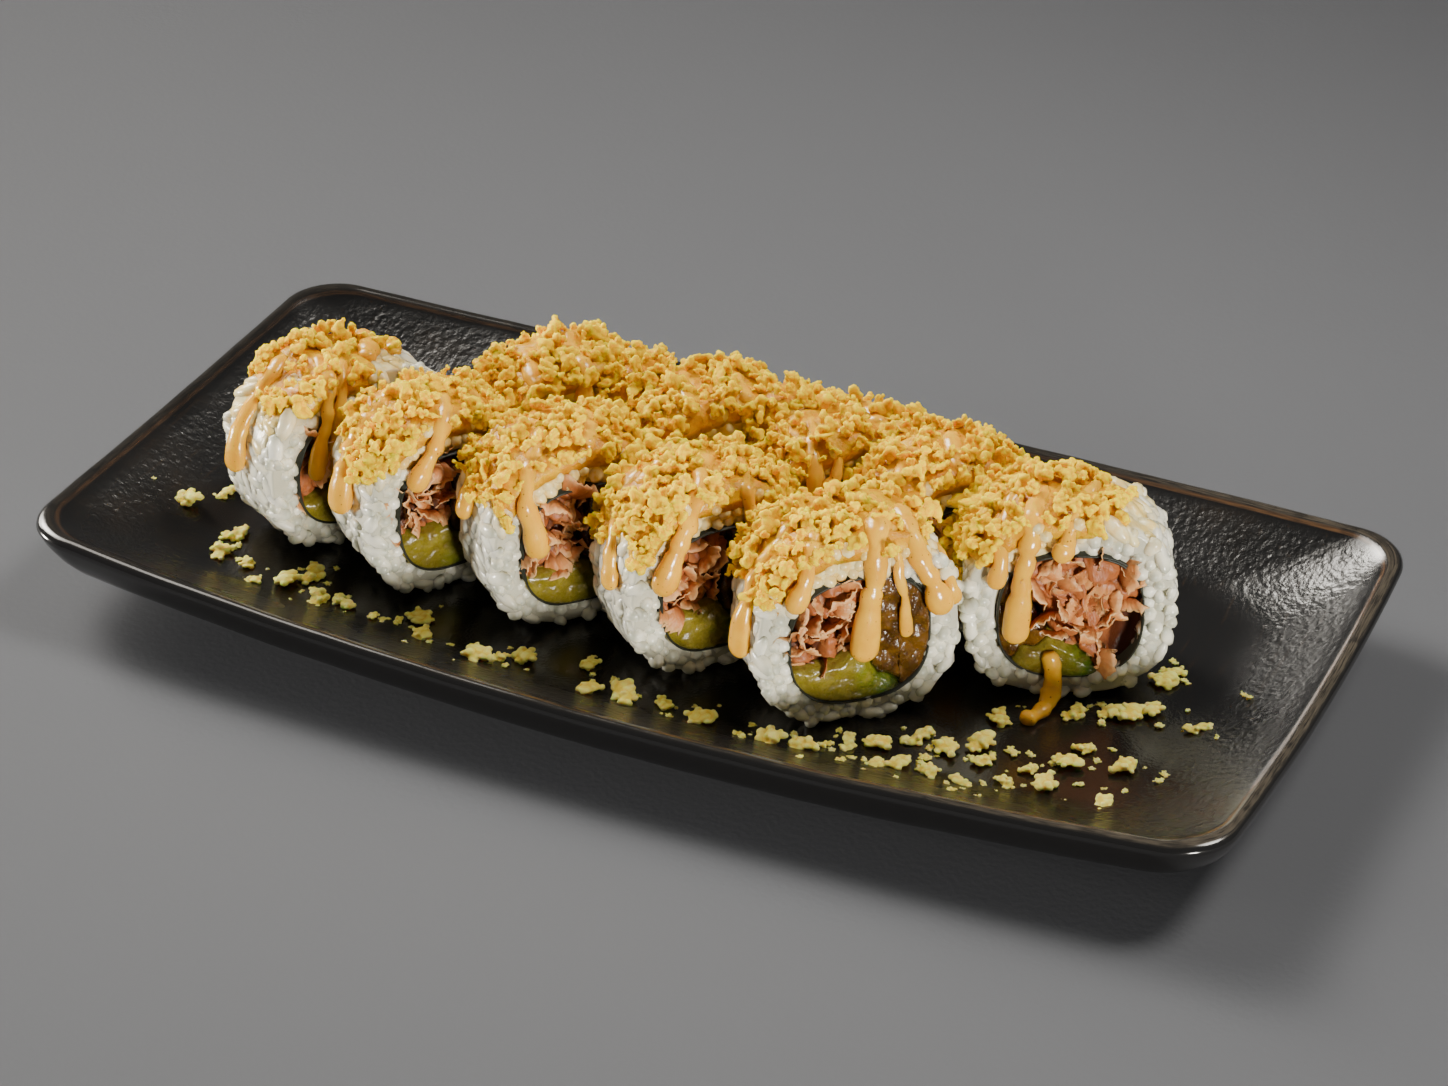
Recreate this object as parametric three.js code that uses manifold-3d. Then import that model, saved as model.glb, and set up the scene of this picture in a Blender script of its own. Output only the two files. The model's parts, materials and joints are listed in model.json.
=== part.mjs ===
// Ten inside-out sushi rolls in two leaning rows on a long dished plate.
// Each roll has rice outside, a seaweed sleeve, three fillings, and crunchy crumbs with drizzle on top.
// Millimetres, +Z up. The origin is on the table under the middle of the plate, +X along its length.

import * as THREE from "three";
import { mergeVertices } from "three/addons/utils/BufferGeometryUtils.js";
import Module from "manifold-3d";

const wasm = await Module();
wasm.setup();

// Plate: a rounded rectangle with bowed sides, whose rim dips between its corners
const plate = {
  halfLength: 145,
  halfWidth: 67.5,
  cornerRadius: 14.3,
  longBow: 5.6,
  shortBow: 1.1,
  cornerHeight: 23,
  longSideDip: 4,
  shortSideDip: 2.5,
  floorHeight: 8,
};
const rimBand = { inner: 3.6, innerDrop: 0.9, crest: 2.2, shoulder: 0.5, shoulderDrop: 0.5 };
const dishFloor = { halfLength: 112, halfWidth: 42, cornerRadius: 20, longBow: 3, shortBow: 0.5 };
const wallSteps = [0, 0.22, 0.45, 0.7, 0.88];
const wallCurve = 1.55;
const outerWall = [
  { inset: 0, drop: 1.2 },
  { inset: 0.3, drop: 2.6 },
  { inset: 1.6, drop: 6 },
  { inset: 4, drop: 10 },
  { inset: 8, drop: 13 },
];
const foot = { halfLength: 103, halfWidth: 38, cornerRadius: 18, longBow: 3, shortBow: 0.5 };
const footRing = { width: 5, spread: 14, spreadHeight: 3.2, shoulderHeight: 2.4, recess: 1.8 };
const outlineSteps = { long: 9, short: 5, corner: 4 };

// Rolls: where each stands on the plate, its turn about the upright axis, and its size
const rolls = {
  front_1: { x: -92.3, y: -9.7, turn: 62, width: 48, height: 41.5, thickness: 23, layout: "fishLeft" },
  front_2: { x: -63.2, y: -19.3, turn: 56, width: 38.5, height: 42, thickness: 23, layout: "fishLeft" },
  front_3: { x: -29.1, y: -18.5, turn: 52, width: 42, height: 42.5, thickness: 23, layout: "fishLeft" },
  front_4: { x: 6.7, y: -21.7, turn: 52, width: 42, height: 43, thickness: 23, layout: "fishLeft" },
  front_5: { x: 44.1, y: -26.1, turn: 42, width: 45, height: 44, thickness: 23, layout: "fishLeft" },
  back_1: { x: -46.7, y: 16.8, turn: 52, width: 37, height: 37, thickness: 22, layout: "fishRight" },
  back_2: { x: -9.1, y: 18, turn: 50, width: 38, height: 39.5, thickness: 22, layout: "fishLeft" },
  back_3: { x: 22.8, y: 17.7, turn: 50, width: 38, height: 38.5, thickness: 20, layout: "fishRight" },
  back_4: { x: 51, y: 12, turn: 46, width: 38, height: 41, thickness: 20.5, layout: "fishLeft" },
  back_5: { x: 84, y: 4, turn: 25, width: 45, height: 44, thickness: 24, layout: "fishRight" },
};
const squareness = 2.6;
const riceWall = { side: 5.8, bottom: 4.2, top: 6.8 };
const restGap = 0.35;
const layerGap = 0.35;
const rollSides = 28;
const riceEdge = [
  { fromFace: 0, inset: 1.7 },
  { fromFace: 2, inset: 0.2 },
];
const barrelSwell = 0.4;
const riceBump = 0.35;

// Topping: a thick layer of crumbs on the upper part of each roll, with single crumbs standing proud
const topping = { depth: 3.6, startsAt: 0.3, fullAt: 0.85, lump: 1.1 };
const rollCrumb = { count: 6, radius: 2.8, spread: 0.7, above: 0.7, faceMargin: 3, sink: 0.45 };

// Seaweed sleeve and fillings
const seaweed = { thickness: 0.9, sides: 20, recess: 0.6 };
const fillingGap = 0.4;
const fillingRecess = 0.7;
const fishRelief = { depth: 1.6, innerScale: 0.55 };
const layouts = {
  fishLeft: { hub: [0, -3], fish: [80, 190], avocado: [190, 310], gourd: [310, 440] },
  fishRight: { hub: [-6, -4.5], fish: [-5, 115], gourd: [115, 215], avocado: [215, 355] },
};

// Drizzle: each strand runs over the top edge and down the cut face, or down the roll's left side
const strand = { bulb: 1.35, tip: 0.6, sides: 6, sink: 0.25, topReach: 6 };
const faceDrips = {
  front_1: [
    { across: -8, lean: -4.5, bottom: 24, radius: 1.5 },
    { across: -3.5, lean: -5, bottom: 21, radius: 1.4 },
  ],
  front_2: [{ across: -1, lean: -7, bottom: 30, radius: 2 }],
  front_3: [{ across: -14, lean: 1.5, bottom: 23, radius: 2.1 }],
  front_4: [{ across: -8, lean: -6, bottom: 27, radius: 2.2 }],
  front_5: [
    { across: 3.5, lean: -3.3, bottom: 20, radius: 2.3 },
    { across: 8, lean: 2, bottom: 22.5, radius: 1.1 },
    { across: 13, lean: 4, bottom: 29, radius: 2.3 },
  ],
  back_3: [
    { across: -10.5, lean: -2, bottom: 26, radius: 1.7 },
    { across: -5.5, lean: -2.5, bottom: 30, radius: 1.5 },
  ],
  back_5: [{ across: -9.5, lean: -2.4, bottom: 18.5, radius: 2.2 }],
};
const sideDrips = {
  front_1: { along: 2.7, bottom: 23, radius: 1.5 },
  front_2: { along: 0.6, bottom: 24, radius: 2 },
  front_3: { along: 3, bottom: 27, radius: 1.7 },
  front_4: { along: -2, bottom: 24, radius: 1.9 },
  front_5: { along: -3, bottom: 22, radius: 2.2 },
};

// Crumbs that fell on the plate: heaps of a few crumbs each, as [x, y, reach]
const fallenHeaps = [
  [-125, -25, 3.4], [-110, -33, 3.6], [-90, -42, 4], [-76, -45, 3], [-52, -46, 3.2],
  [-34, -49, 3.8], [-25, -46, 2.4], [-2, -50, 4], [11, -49, 2.6], [21, -50, 3.4],
  [41, -51, 4.2], [56, -46, 2.6], [70, -47, 3.4], [80, -36, 3], [94, -38, 3.2],
  [99, -27, 3.4], [106, -7, 2.8], [110, -27, 3], [111, -41, 3], [120, -8, 2.2], [125, 7, 2],
];
const fallenCrumb = { radius: 0.85, flatten: 0.62, sink: 0.35, pairFrom: 3 };
const saucePool = { x: 86, y: -20.5, length: 6, width: 3.4, height: 1.8 };

const degrees = Math.PI / 180;

function seededRandom(seed) {
  let state = seed;
  return () => {
    state = (Math.imul(state, 1664525) + 1013904223) >>> 0;
    return state / 4294967296;
  };
}

function mix(from, to, share) {
  return from + (to - from) * share;
}

function smoothStep(from, to, value) {
  const share = Math.min(Math.max((value - from) / (to - from), 0), 1);
  return share * share * (3 - 2 * share);
}

// Solids

// Six times the volume that a triangle list encloses, negative where the faces point in
function signedVolume(points, triangles) {
  const cross = new THREE.Vector3();
  let total = 0;
  for (const [a, b, c] of triangles) {
    total += cross.crossVectors(points[b], points[c]).dot(points[a]);
  }
  return total;
}

function geometryFrom(points, triangles) {
  const inwards = signedVolume(points, triangles) < 0;
  const order = inwards ? triangles.map(([a, b, c]) => [a, c, b]) : triangles;
  const geometry = new THREE.BufferGeometry();
  const numbers = points.flatMap((point) => [point.x, point.y, point.z]);
  geometry.setAttribute("position", new THREE.Float32BufferAttribute(numbers, 3));
  geometry.setIndex(order.flat());
  return geometry;
}

// Skins a row of loops with equal counts: closed at both ends by a fan, or joined last to first
function skinLoops(loops, joined = false, ends = null) {
  const count = loops[0].length;
  const points = loops.flat();
  const triangles = [];
  const bands = joined ? loops.length : loops.length - 1;
  for (let band = 0; band < bands; band += 1) {
    const low = band * count;
    const high = ((band + 1) % loops.length) * count;
    for (let step = 0; step < count; step += 1) {
      const next = (step + 1) % count;
      triangles.push([low + step, low + next, high + next]);
      triangles.push([low + step, high + next, high + step]);
    }
  }
  if (!joined) {
    const last = (loops.length - 1) * count;
    points.push(ends[0], ends[1]);
    for (let step = 0; step < count; step += 1) {
      const next = (step + 1) % count;
      triangles.push([points.length - 2, next, step]);
      triangles.push([points.length - 1, last + step, last + next]);
    }
  }
  return geometryFrom(points, triangles);
}

function middleOf(loop) {
  const middle = new THREE.Vector3();
  for (const point of loop) {
    middle.add(point);
  }
  return middle.divideScalar(loop.length);
}

function capped(loops) {
  return skinLoops(loops, false, [middleOf(loops[0]), middleOf(loops[loops.length - 1])]);
}

function solidFrom(geometry) {
  const bare = geometry.clone();
  bare.deleteAttribute("normal");
  bare.deleteAttribute("uv");
  const merged = mergeVertices(bare, 1e-4);
  const mesh = new wasm.Mesh({
    numProp: 3,
    vertProperties: new Float32Array(merged.attributes.position.array),
    triVerts: new Uint32Array(merged.index.array),
  });
  return new wasm.Manifold(mesh);
}

function geometryOf(solid) {
  const mesh = solid.getMesh();
  const geometry = new THREE.BufferGeometry();
  geometry.setAttribute("position", new THREE.BufferAttribute(mesh.vertProperties, 3));
  geometry.setIndex(new THREE.BufferAttribute(mesh.triVerts, 1));
  return geometry;
}

// A union keeps its largest body, so that a crumb that misses the core is dropped
function fused(core, extras) {
  let whole = solidFrom(core);
  for (const extra of extras) {
    whole = whole.add(solidFrom(extra));
  }
  const bodies = whole.decompose();
  bodies.sort((one, other) => other.volume() - one.volume());
  return geometryOf(bodies[0]);
}

// A crumb: a twenty-sided lump with uneven corners
function crumbGeometry(centre, radius, flatten, random) {
  const lump = new THREE.IcosahedronGeometry(radius, 0);
  lump.deleteAttribute("normal");
  lump.deleteAttribute("uv");
  const geometry = mergeVertices(lump, 1e-4);
  const place = geometry.attributes.position;
  const point = new THREE.Vector3();
  for (let index = 0; index < place.count; index += 1) {
    point.fromBufferAttribute(place, index).multiplyScalar(mix(0.75, 1.2, random()));
    place.setXYZ(index, centre.x + point.x, centre.y + point.y, centre.z + point.z * flatten);
  }
  return geometry;
}

// Plate

function plateOutline({ halfLength, halfWidth, cornerRadius, longBow, shortBow }) {
  const points = [];
  const straightX = halfLength - cornerRadius;
  const straightY = halfWidth - cornerRadius;
  const bowed = (share) => 1 - (2 * share - 1) ** 2;
  for (const side of [1, -1]) {
    for (let step = 0; step < outlineSteps.short; step += 1) {
      const share = step / outlineSteps.short;
      const y = side * mix(-straightY, straightY, share);
      points.push([side * (halfLength + shortBow * bowed(share)), y]);
    }
    for (let step = 0; step < outlineSteps.corner; step += 1) {
      const angle = (90 * step * degrees) / outlineSteps.corner;
      const x = straightX + cornerRadius * Math.cos(angle);
      points.push([side * x, side * (straightY + cornerRadius * Math.sin(angle))]);
    }
    for (let step = 0; step < outlineSteps.long; step += 1) {
      const share = step / outlineSteps.long;
      const x = side * mix(straightX, -straightX, share);
      points.push([x, side * (halfWidth + longBow * bowed(share))]);
    }
    for (let step = 0; step < outlineSteps.corner; step += 1) {
      const angle = (90 * step * degrees) / outlineSteps.corner;
      const x = straightX + cornerRadius * Math.sin(angle);
      points.push([-side * x, side * (straightY + cornerRadius * Math.cos(angle))]);
    }
  }
  return points;
}

function insetShape(shape, inset) {
  return {
    ...shape,
    halfLength: shape.halfLength - inset,
    halfWidth: shape.halfWidth - inset,
  };
}

function blendShape(inner, outer, share) {
  const shape = {};
  for (const key of ["halfLength", "halfWidth", "cornerRadius", "longBow", "shortBow"]) {
    shape[key] = mix(inner[key], outer[key], share);
  }
  return shape;
}

// The rim is highest at its four corners
function rimHeight(x, y, shape) {
  const longDip = plate.longSideDip * Math.max(0, 1 - (x / shape.halfLength) ** 2);
  const shortDip = plate.shortSideDip * Math.max(0, 1 - (y / shape.halfWidth) ** 2);
  return plate.cornerHeight - longDip - shortDip;
}

function levelLoop(shape, height) {
  return plateOutline(shape).map(([x, y]) => new THREE.Vector3(x, y, height));
}

function rimLoop(inset, drop) {
  const shape = insetShape(plate, inset);
  return plateOutline(shape).map(([x, y]) => new THREE.Vector3(x, y, rimHeight(x, y, shape) - drop));
}

function wallLoop(share) {
  const shape = blendShape(dishFloor, insetShape(plate, rimBand.inner), share);
  return plateOutline(shape).map(([x, y]) => {
    const top = rimHeight(x, y, shape) - rimBand.innerDrop;
    return new THREE.Vector3(x, y, mix(plate.floorHeight, top, share ** wallCurve));
  });
}

function plateCore() {
  const loops = wallSteps.map(wallLoop);
  loops.push(rimLoop(rimBand.inner, rimBand.innerDrop));
  loops.push(rimLoop(rimBand.crest, 0));
  loops.push(rimLoop(rimBand.shoulder, rimBand.shoulderDrop));
  for (const { inset, drop } of outerWall) {
    loops.push(rimLoop(inset, drop));
  }
  loops.push(levelLoop(insetShape(foot, -footRing.spread), footRing.spreadHeight));
  loops.push(levelLoop(insetShape(foot, -1), footRing.shoulderHeight));
  loops.push(levelLoop(foot, 0));
  loops.push(levelLoop(insetShape(foot, footRing.width), 0));
  loops.push(levelLoop(insetShape(foot, footRing.width + 1), footRing.recess));
  const ends = [
    new THREE.Vector3(0, 0, plate.floorHeight),
    new THREE.Vector3(0, 0, footRing.recess),
  ];
  return skinLoops(loops, false, ends);
}

// True where a round thing on the plate would touch a roll
function meetsRoll(x, y, reach) {
  return Object.values(rolls).some((roll) => {
    const cosine = Math.cos(roll.turn * degrees);
    const sine = Math.sin(roll.turn * degrees);
    const across = (x - roll.x) * cosine + (y - roll.y) * sine;
    const along = (y - roll.y) * cosine - (x - roll.x) * sine;
    const clearAcross = Math.abs(across) > roll.width / 2 + reach;
    const clearAlong = Math.abs(along) > roll.thickness / 2 + reach;
    return !clearAcross && !clearAlong;
  });
}

// Height of the dish's inner surface, from the walls' own curve
function dishHeight(x, y) {
  const top = insetShape(plate, rimBand.inner);
  const shareX = (Math.abs(x) - dishFloor.halfLength) / (top.halfLength - dishFloor.halfLength);
  const floorY = dishFloor.halfWidth + dishFloor.longBow * (1 - (x / dishFloor.halfLength) ** 2);
  const topY = top.halfWidth + top.longBow * (1 - (x / top.halfLength) ** 2);
  const shareY = (Math.abs(y) - floorY) / (topY - floorY);
  const share = Math.min(Math.max(shareX, shareY, 0), 1);
  return mix(plate.floorHeight, rimHeight(x, y, top), share ** wallCurve);
}

function plateGeometry() {
  const random = seededRandom(7);
  const extras = [];
  for (const [x, y, reach] of fallenHeaps) {
    const count = reach > fallenCrumb.pairFrom ? 2 : 1;
    for (let index = 0; index < count; index += 1) {
      const radius = reach * fallenCrumb.radius * mix(0.8, 1.1, random());
      const angle = 360 * random() * degrees;
      const offset = index * reach * 0.75;
      const crumbX = x + offset * Math.cos(angle);
      const crumbY = y + offset * Math.sin(angle);
      const height = dishHeight(crumbX, crumbY) + radius * fallenCrumb.flatten * fallenCrumb.sink;
      const centre = new THREE.Vector3(crumbX, crumbY, height);
      if (!meetsRoll(crumbX, crumbY, radius * 1.2 + layerGap)) {
        extras.push(crumbGeometry(centre, radius, fallenCrumb.flatten, random));
      }
    }
  }
  const pool = new THREE.SphereGeometry(1, 10, 6);
  pool.scale(saucePool.length, saucePool.width, saucePool.height);
  pool.rotateZ(50 * degrees);
  pool.translate(saucePool.x, saucePool.y, plate.floorHeight);
  extras.push(pool);
  return fused(plateCore(), extras);
}

// Rolls, each in its own frame: the cut face looks along -Y, X runs across it, Z is up from the dish

function squareRound(angle) {
  const cosine = Math.cos(angle);
  const sine = Math.sin(angle);
  const power = 2 / squareness;
  return [Math.sign(cosine) * Math.abs(cosine) ** power, Math.sign(sine) * Math.abs(sine) ** power];
}

function openingOf(roll) {
  return {
    halfWidth: roll.width / 2 - riceWall.side,
    halfHeight: (roll.height - riceWall.bottom - riceWall.top) / 2,
    middle: (roll.height + riceWall.bottom - riceWall.top) / 2,
  };
}

function openingLoop(roll, y, inset, sides) {
  const opening = openingOf(roll);
  const loop = [];
  for (let side = 0; side < sides; side += 1) {
    const [across, up] = squareRound((2 * Math.PI * side) / sides);
    const x = across * (opening.halfWidth - inset);
    loop.push(new THREE.Vector3(x, y, opening.middle + up * (opening.halfHeight - inset)));
  }
  return loop;
}

function riceLoop(roll, y, inset, random) {
  const loop = [];
  const halfWidth = roll.width / 2 - inset;
  const halfHeight = roll.height / 2 - inset;
  for (let side = 0; side < rollSides; side += 1) {
    const [across, up] = squareRound((2 * Math.PI * side) / rollSides);
    const cover = smoothStep(topping.startsAt, topping.fullAt, up);
    const bump = riceBump * (2 * random() - 1);
    const lump = cover * (topping.depth + topping.lump * (2 * random() - 1));
    const x = across * (halfWidth + bump) * (1 + 0.03 * cover);
    const z = roll.height / 2 + up * (halfHeight + bump) + lump;
    loop.push(new THREE.Vector3(x, y, Math.max(z, 0)));
  }
  return loop;
}

function riceCore(roll, random) {
  const half = roll.thickness / 2;
  const loops = [];
  for (const { fromFace, inset } of riceEdge) {
    loops.push(riceLoop(roll, fromFace - half, inset, random));
  }
  loops.push(riceLoop(roll, 0, -barrelSwell, random));
  for (const { fromFace, inset } of [...riceEdge].reverse()) {
    loops.push(riceLoop(roll, half - fromFace, inset, random));
  }
  loops.push(openingLoop(roll, half, 0, rollSides));
  loops.push(openingLoop(roll, -half, 0, rollSides));
  return skinLoops(loops, true);
}

// Rings round a path; sideAxis is the direction that stays level in every ring
function sweep(centres, radii, sideAxis) {
  const loops = centres.map((centre, index) => {
    const before = centres[Math.max(index - 1, 0)];
    const after = centres[Math.min(index + 1, centres.length - 1)];
    const along = after.clone().sub(before).normalize();
    const out = new THREE.Vector3().crossVectors(along, sideAxis).normalize();
    const level = new THREE.Vector3().crossVectors(out, along);
    const loop = [];
    for (let side = 0; side < strand.sides; side += 1) {
      const angle = (2 * Math.PI * side) / strand.sides;
      const point = centre.clone().addScaledVector(level, radii[index] * Math.cos(angle));
      loop.push(point.addScaledVector(out, radii[index] * Math.sin(angle)));
    }
    return loop;
  });
  return capped(loops);
}

function faceDrip(roll, { across, lean, bottom, radius }) {
  const face = -roll.thickness / 2;
  const top = roll.height + topping.depth;
  const radii = [1, 1, 1, 0.95, 0.9, strand.bulb, strand.tip].map((size) => size * radius);
  const hang = (radius) => face + strand.sink - radius;
  const centres = [
    new THREE.Vector3(across, face + strand.topReach, top - 0.6),
    new THREE.Vector3(across, face + strand.topReach / 3, top - 1.6),
    new THREE.Vector3(across + lean * 0.15, face - 0.6, roll.height - 2),
    new THREE.Vector3(across + lean * 0.4, hang(radii[3]), roll.height - 6),
    new THREE.Vector3(across + lean * 0.8, hang(radii[4]), bottom + 2.2 * radius),
    new THREE.Vector3(across + lean, hang(radii[5]), bottom),
    new THREE.Vector3(across + lean, hang(radii[6]), bottom - 1.2 * radius),
  ];
  return sweep(centres, radii, new THREE.Vector3(1, 0, 0));
}

function sideDrip(roll, { along, bottom, radius }) {
  const radii = [1, 1, 0.95, 0.9, strand.bulb, strand.tip].map((size) => size * radius);
  const startAngle = 118 * degrees;
  const endUp = (bottom - roll.height / 2) / (roll.height / 2);
  const endAngle = Math.PI - Math.asin(Math.max(endUp, 0.01) ** (squareness / 2));
  const centres = radii.map((ring, index) => {
    const [across, up] = squareRound(mix(startAngle, endAngle, index / (radii.length - 1)));
    const cover = smoothStep(topping.startsAt, topping.fullAt, up);
    const x = across * (roll.width / 2 + ring * 0.5);
    const z = roll.height / 2 + up * (roll.height / 2) + cover * topping.depth;
    return new THREE.Vector3(x, along, z);
  });
  return sweep(centres, radii, new THREE.Vector3(0, 1, 0));
}

function rollCrumbs(roll, random) {
  const lumps = [];
  const reachY = roll.thickness / 2 - rollCrumb.faceMargin;
  for (let index = 0; index < rollCrumb.count; index += 1) {
    const share = (index + 0.2 + 0.6 * random()) / rollCrumb.count;
    const x = mix(-1, 1, share) * rollCrumb.above * (roll.width / 2);
    const height = Math.abs(x / (roll.width / 2)) ** squareness;
    const top = (roll.height / 2) * (1 + (1 - height) ** (1 / squareness)) + topping.depth;
    const radius = rollCrumb.radius * mix(1 - rollCrumb.spread / 2, 1, random());
    const y = reachY * (2 * random() - 1);
    const centre = new THREE.Vector3(x, y, top - radius * rollCrumb.sink);
    lumps.push(crumbGeometry(centre, radius, 1, random));
  }
  return lumps;
}

function riceGeometry(name, roll, random) {
  const extras = rollCrumbs(roll, random);
  for (const drip of faceDrips[name] ?? []) {
    extras.push(faceDrip(roll, drip));
  }
  if (sideDrips[name]) {
    extras.push(sideDrip(roll, sideDrips[name]));
  }
  return fused(riceCore(roll, random), extras);
}

function seaweedGeometry(roll) {
  const half = roll.thickness / 2 - seaweed.recess;
  const outer = layerGap;
  const inner = layerGap + seaweed.thickness;
  const loops = [
    openingLoop(roll, -half, outer, seaweed.sides),
    openingLoop(roll, half, outer, seaweed.sides),
    openingLoop(roll, half, inner, seaweed.sides),
    openingLoop(roll, -half, inner, seaweed.sides),
  ];
  return skinLoops(loops, true);
}

// Keeps the part of a flat outline that lies on the left of a line from the hub at an angle
function clipLeft(outline, hub, angle, gap) {
  const normal = [-Math.sin(angle), Math.cos(angle)];
  const side = ([x, z]) => (x - hub[0]) * normal[0] + (z - hub[1]) * normal[1] - gap;
  const kept = [];
  outline.forEach((point, index) => {
    const next = outline[(index + 1) % outline.length];
    const here = side(point);
    const there = side(next);
    if (here >= 0) {
      kept.push(point);
    }
    if (here * there < 0) {
      const share = here / (here - there);
      kept.push([mix(point[0], next[0], share), mix(point[1], next[1], share)]);
    }
  });
  return kept;
}

// One filling: the wedge of the opening between two angles, with an uneven cut end where it is flaky
function fillingGeometry(roll, hub, [from, to], relief, random) {
  const opening = openingOf(roll);
  const inset = 2 * layerGap + seaweed.thickness;
  const place = [hub[0], opening.middle + hub[1]];
  let outline = openingLoop(roll, 0, inset, seaweed.sides).map((point) => [point.x, point.z]);
  outline = clipLeft(outline, place, from * degrees, fillingGap / 2);
  outline = clipLeft(outline, place, to * degrees + Math.PI, fillingGap / 2);
  const half = roll.thickness / 2 - fillingRecess;
  const edge = (y) => outline.map(([x, z]) => new THREE.Vector3(x, y, z));
  const loops = [edge(-half), edge(half)];
  if (relief > 0) {
    for (const side of [-1, 1]) {
      const middle = middleOf(edge(0));
      const inner = edge(0).map((point) => {
        const place = middle.clone().lerp(point, fishRelief.innerScale);
        place.y = side * (half - relief * random());
        return place;
      });
      side < 0 ? loops.unshift(inner) : loops.push(inner);
    }
  }
  return capped(loops);
}

const looks = {
  plate: new THREE.MeshStandardMaterial({ color: 0x1c1b1a, roughness: 0.42, metalness: 0 }),
  rice: new THREE.MeshStandardMaterial({ color: 0xe9e4d6, roughness: 0.5, metalness: 0 }),
  seaweed: new THREE.MeshStandardMaterial({ color: 0x14170f, roughness: 0.6, metalness: 0 }),
  fish: new THREE.MeshStandardMaterial({ color: 0xd8917c, roughness: 0.55, metalness: 0 }),
  avocado: new THREE.MeshStandardMaterial({ color: 0x9ba43c, roughness: 0.45, metalness: 0 }),
  gourd: new THREE.MeshStandardMaterial({ color: 0x9a5f1e, roughness: 0.35, metalness: 0 }),
};

function named(name, geometry, look) {
  geometry.computeVertexNormals();
  const mesh = new THREE.Mesh(geometry, look);
  mesh.name = name;
  return mesh;
}

function rollGroup(name, roll, seed) {
  const random = seededRandom(seed);
  const group = new THREE.Group();
  group.position.set(roll.x, roll.y, plate.floorHeight + restGap);
  group.rotation.z = roll.turn * degrees;
  const layout = layouts[roll.layout];
  group.add(named(`${name}_rice`, riceGeometry(name, roll, random), looks.rice));
  group.add(named(`${name}_seaweed`, seaweedGeometry(roll), looks.seaweed));
  for (const filling of ["fish", "avocado", "gourd"]) {
    const relief = filling === "fish" ? fishRelief.depth : 0;
    const geometry = fillingGeometry(roll, layout.hub, layout[filling], relief, random);
    group.add(named(`${name}_${filling}`, geometry, looks[filling]));
  }
  return group;
}

const platter = new THREE.Group();
platter.add(named("plate", plateGeometry(), looks.plate));
Object.entries(rolls).forEach(([name, roll], index) => {
  platter.add(rollGroup(name, roll, 101 + 17 * index));
});

export default platter;
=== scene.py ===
import json
import math
import random

import bmesh
import bpy
import numpy as np
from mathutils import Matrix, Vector, noise

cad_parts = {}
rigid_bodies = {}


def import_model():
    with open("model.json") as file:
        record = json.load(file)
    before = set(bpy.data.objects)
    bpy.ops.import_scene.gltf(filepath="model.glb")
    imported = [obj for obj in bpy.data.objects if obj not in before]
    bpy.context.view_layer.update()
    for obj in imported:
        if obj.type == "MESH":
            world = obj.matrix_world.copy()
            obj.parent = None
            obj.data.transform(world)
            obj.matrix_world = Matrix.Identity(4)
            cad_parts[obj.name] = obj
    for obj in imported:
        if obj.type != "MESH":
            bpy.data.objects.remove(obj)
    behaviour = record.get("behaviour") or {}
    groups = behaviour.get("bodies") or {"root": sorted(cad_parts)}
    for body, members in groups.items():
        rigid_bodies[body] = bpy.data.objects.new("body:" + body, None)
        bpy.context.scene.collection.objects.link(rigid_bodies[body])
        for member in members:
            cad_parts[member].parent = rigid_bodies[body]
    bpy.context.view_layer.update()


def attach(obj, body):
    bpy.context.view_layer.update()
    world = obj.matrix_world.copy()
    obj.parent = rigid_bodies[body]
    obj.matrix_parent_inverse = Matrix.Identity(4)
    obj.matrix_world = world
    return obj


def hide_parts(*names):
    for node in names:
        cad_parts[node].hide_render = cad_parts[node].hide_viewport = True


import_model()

mm = 0.001

rollBase = 8.35    # the rolls' underside above the table
squareness = 2.6   # of a roll's outline, where 2 is an ellipse
rolls = {   # left and right are how high the crumbs end there, from 0 at mid height to 1 on top
    "front_1": dict(x=-92.3, y=-9.7, turn=62, width=48, height=41.5, thickness=23, left=0.6, right=0.8),
    "front_2": dict(x=-63.2, y=-19.3, turn=56, width=38.5, height=42, thickness=23, left=0.36, right=0.3),
    "front_3": dict(x=-29.1, y=-18.5, turn=52, width=42, height=42.5, thickness=23, left=0.32, right=0.3),
    "front_4": dict(x=6.7, y=-21.7, turn=52, width=42, height=43, thickness=23, left=0.32, right=0.3),
    "front_5": dict(x=44.1, y=-26.1, turn=42, width=45, height=44, thickness=23, left=0.25, right=0.55),
    "back_1": dict(x=-46.7, y=16.8, turn=52, width=37, height=39.5, thickness=22, left=0.2, right=0.5),
    "back_2": dict(x=-9.1, y=18, turn=50, width=38, height=39.5, thickness=22, left=0.2, right=0.5),
    "back_3": dict(x=22.8, y=17.7, turn=50, width=38, height=38.5, thickness=20, left=0.2, right=0.5),
    "back_4": dict(x=51, y=12, turn=46, width=38, height=41, thickness=20.5, left=0.3, right=0.4),
    "back_5": dict(x=84, y=4, turn=25, width=45, height=44, thickness=24, left=0.3, right=0.8),
}
fishOnTheRight = ("back_1", "back_3")
for index, (name, roll) in enumerate(rolls.items()):
    roll["seed"] = 11.3 * index + 3.7
    roll["layout"] = "fishRight" if name in fishOnTheRight else "fishLeft"
rolls["back_5"]["layout"] = "fishHanging"


# Small sums

def blend(start, end, share):
    return start + (end - start) * share


def smoothStep(start, end, value):
    share = np.clip((value - start) / (end - start), 0, 1)
    return share * share * (3 - 2 * share)


def ripple(point, size, seed=0.0, octaves=2):   # soft noise from about -1 to 1
    place = Vector((point[0] / size + seed, point[1] / size - seed, point[2] / size + 2.3 * seed))
    total = 0.0
    weight = 1.0
    for _ in range(octaves):
        total += weight * noise.noise(place)
        place = place * 2.03
        weight *= 0.5
    return total


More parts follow.
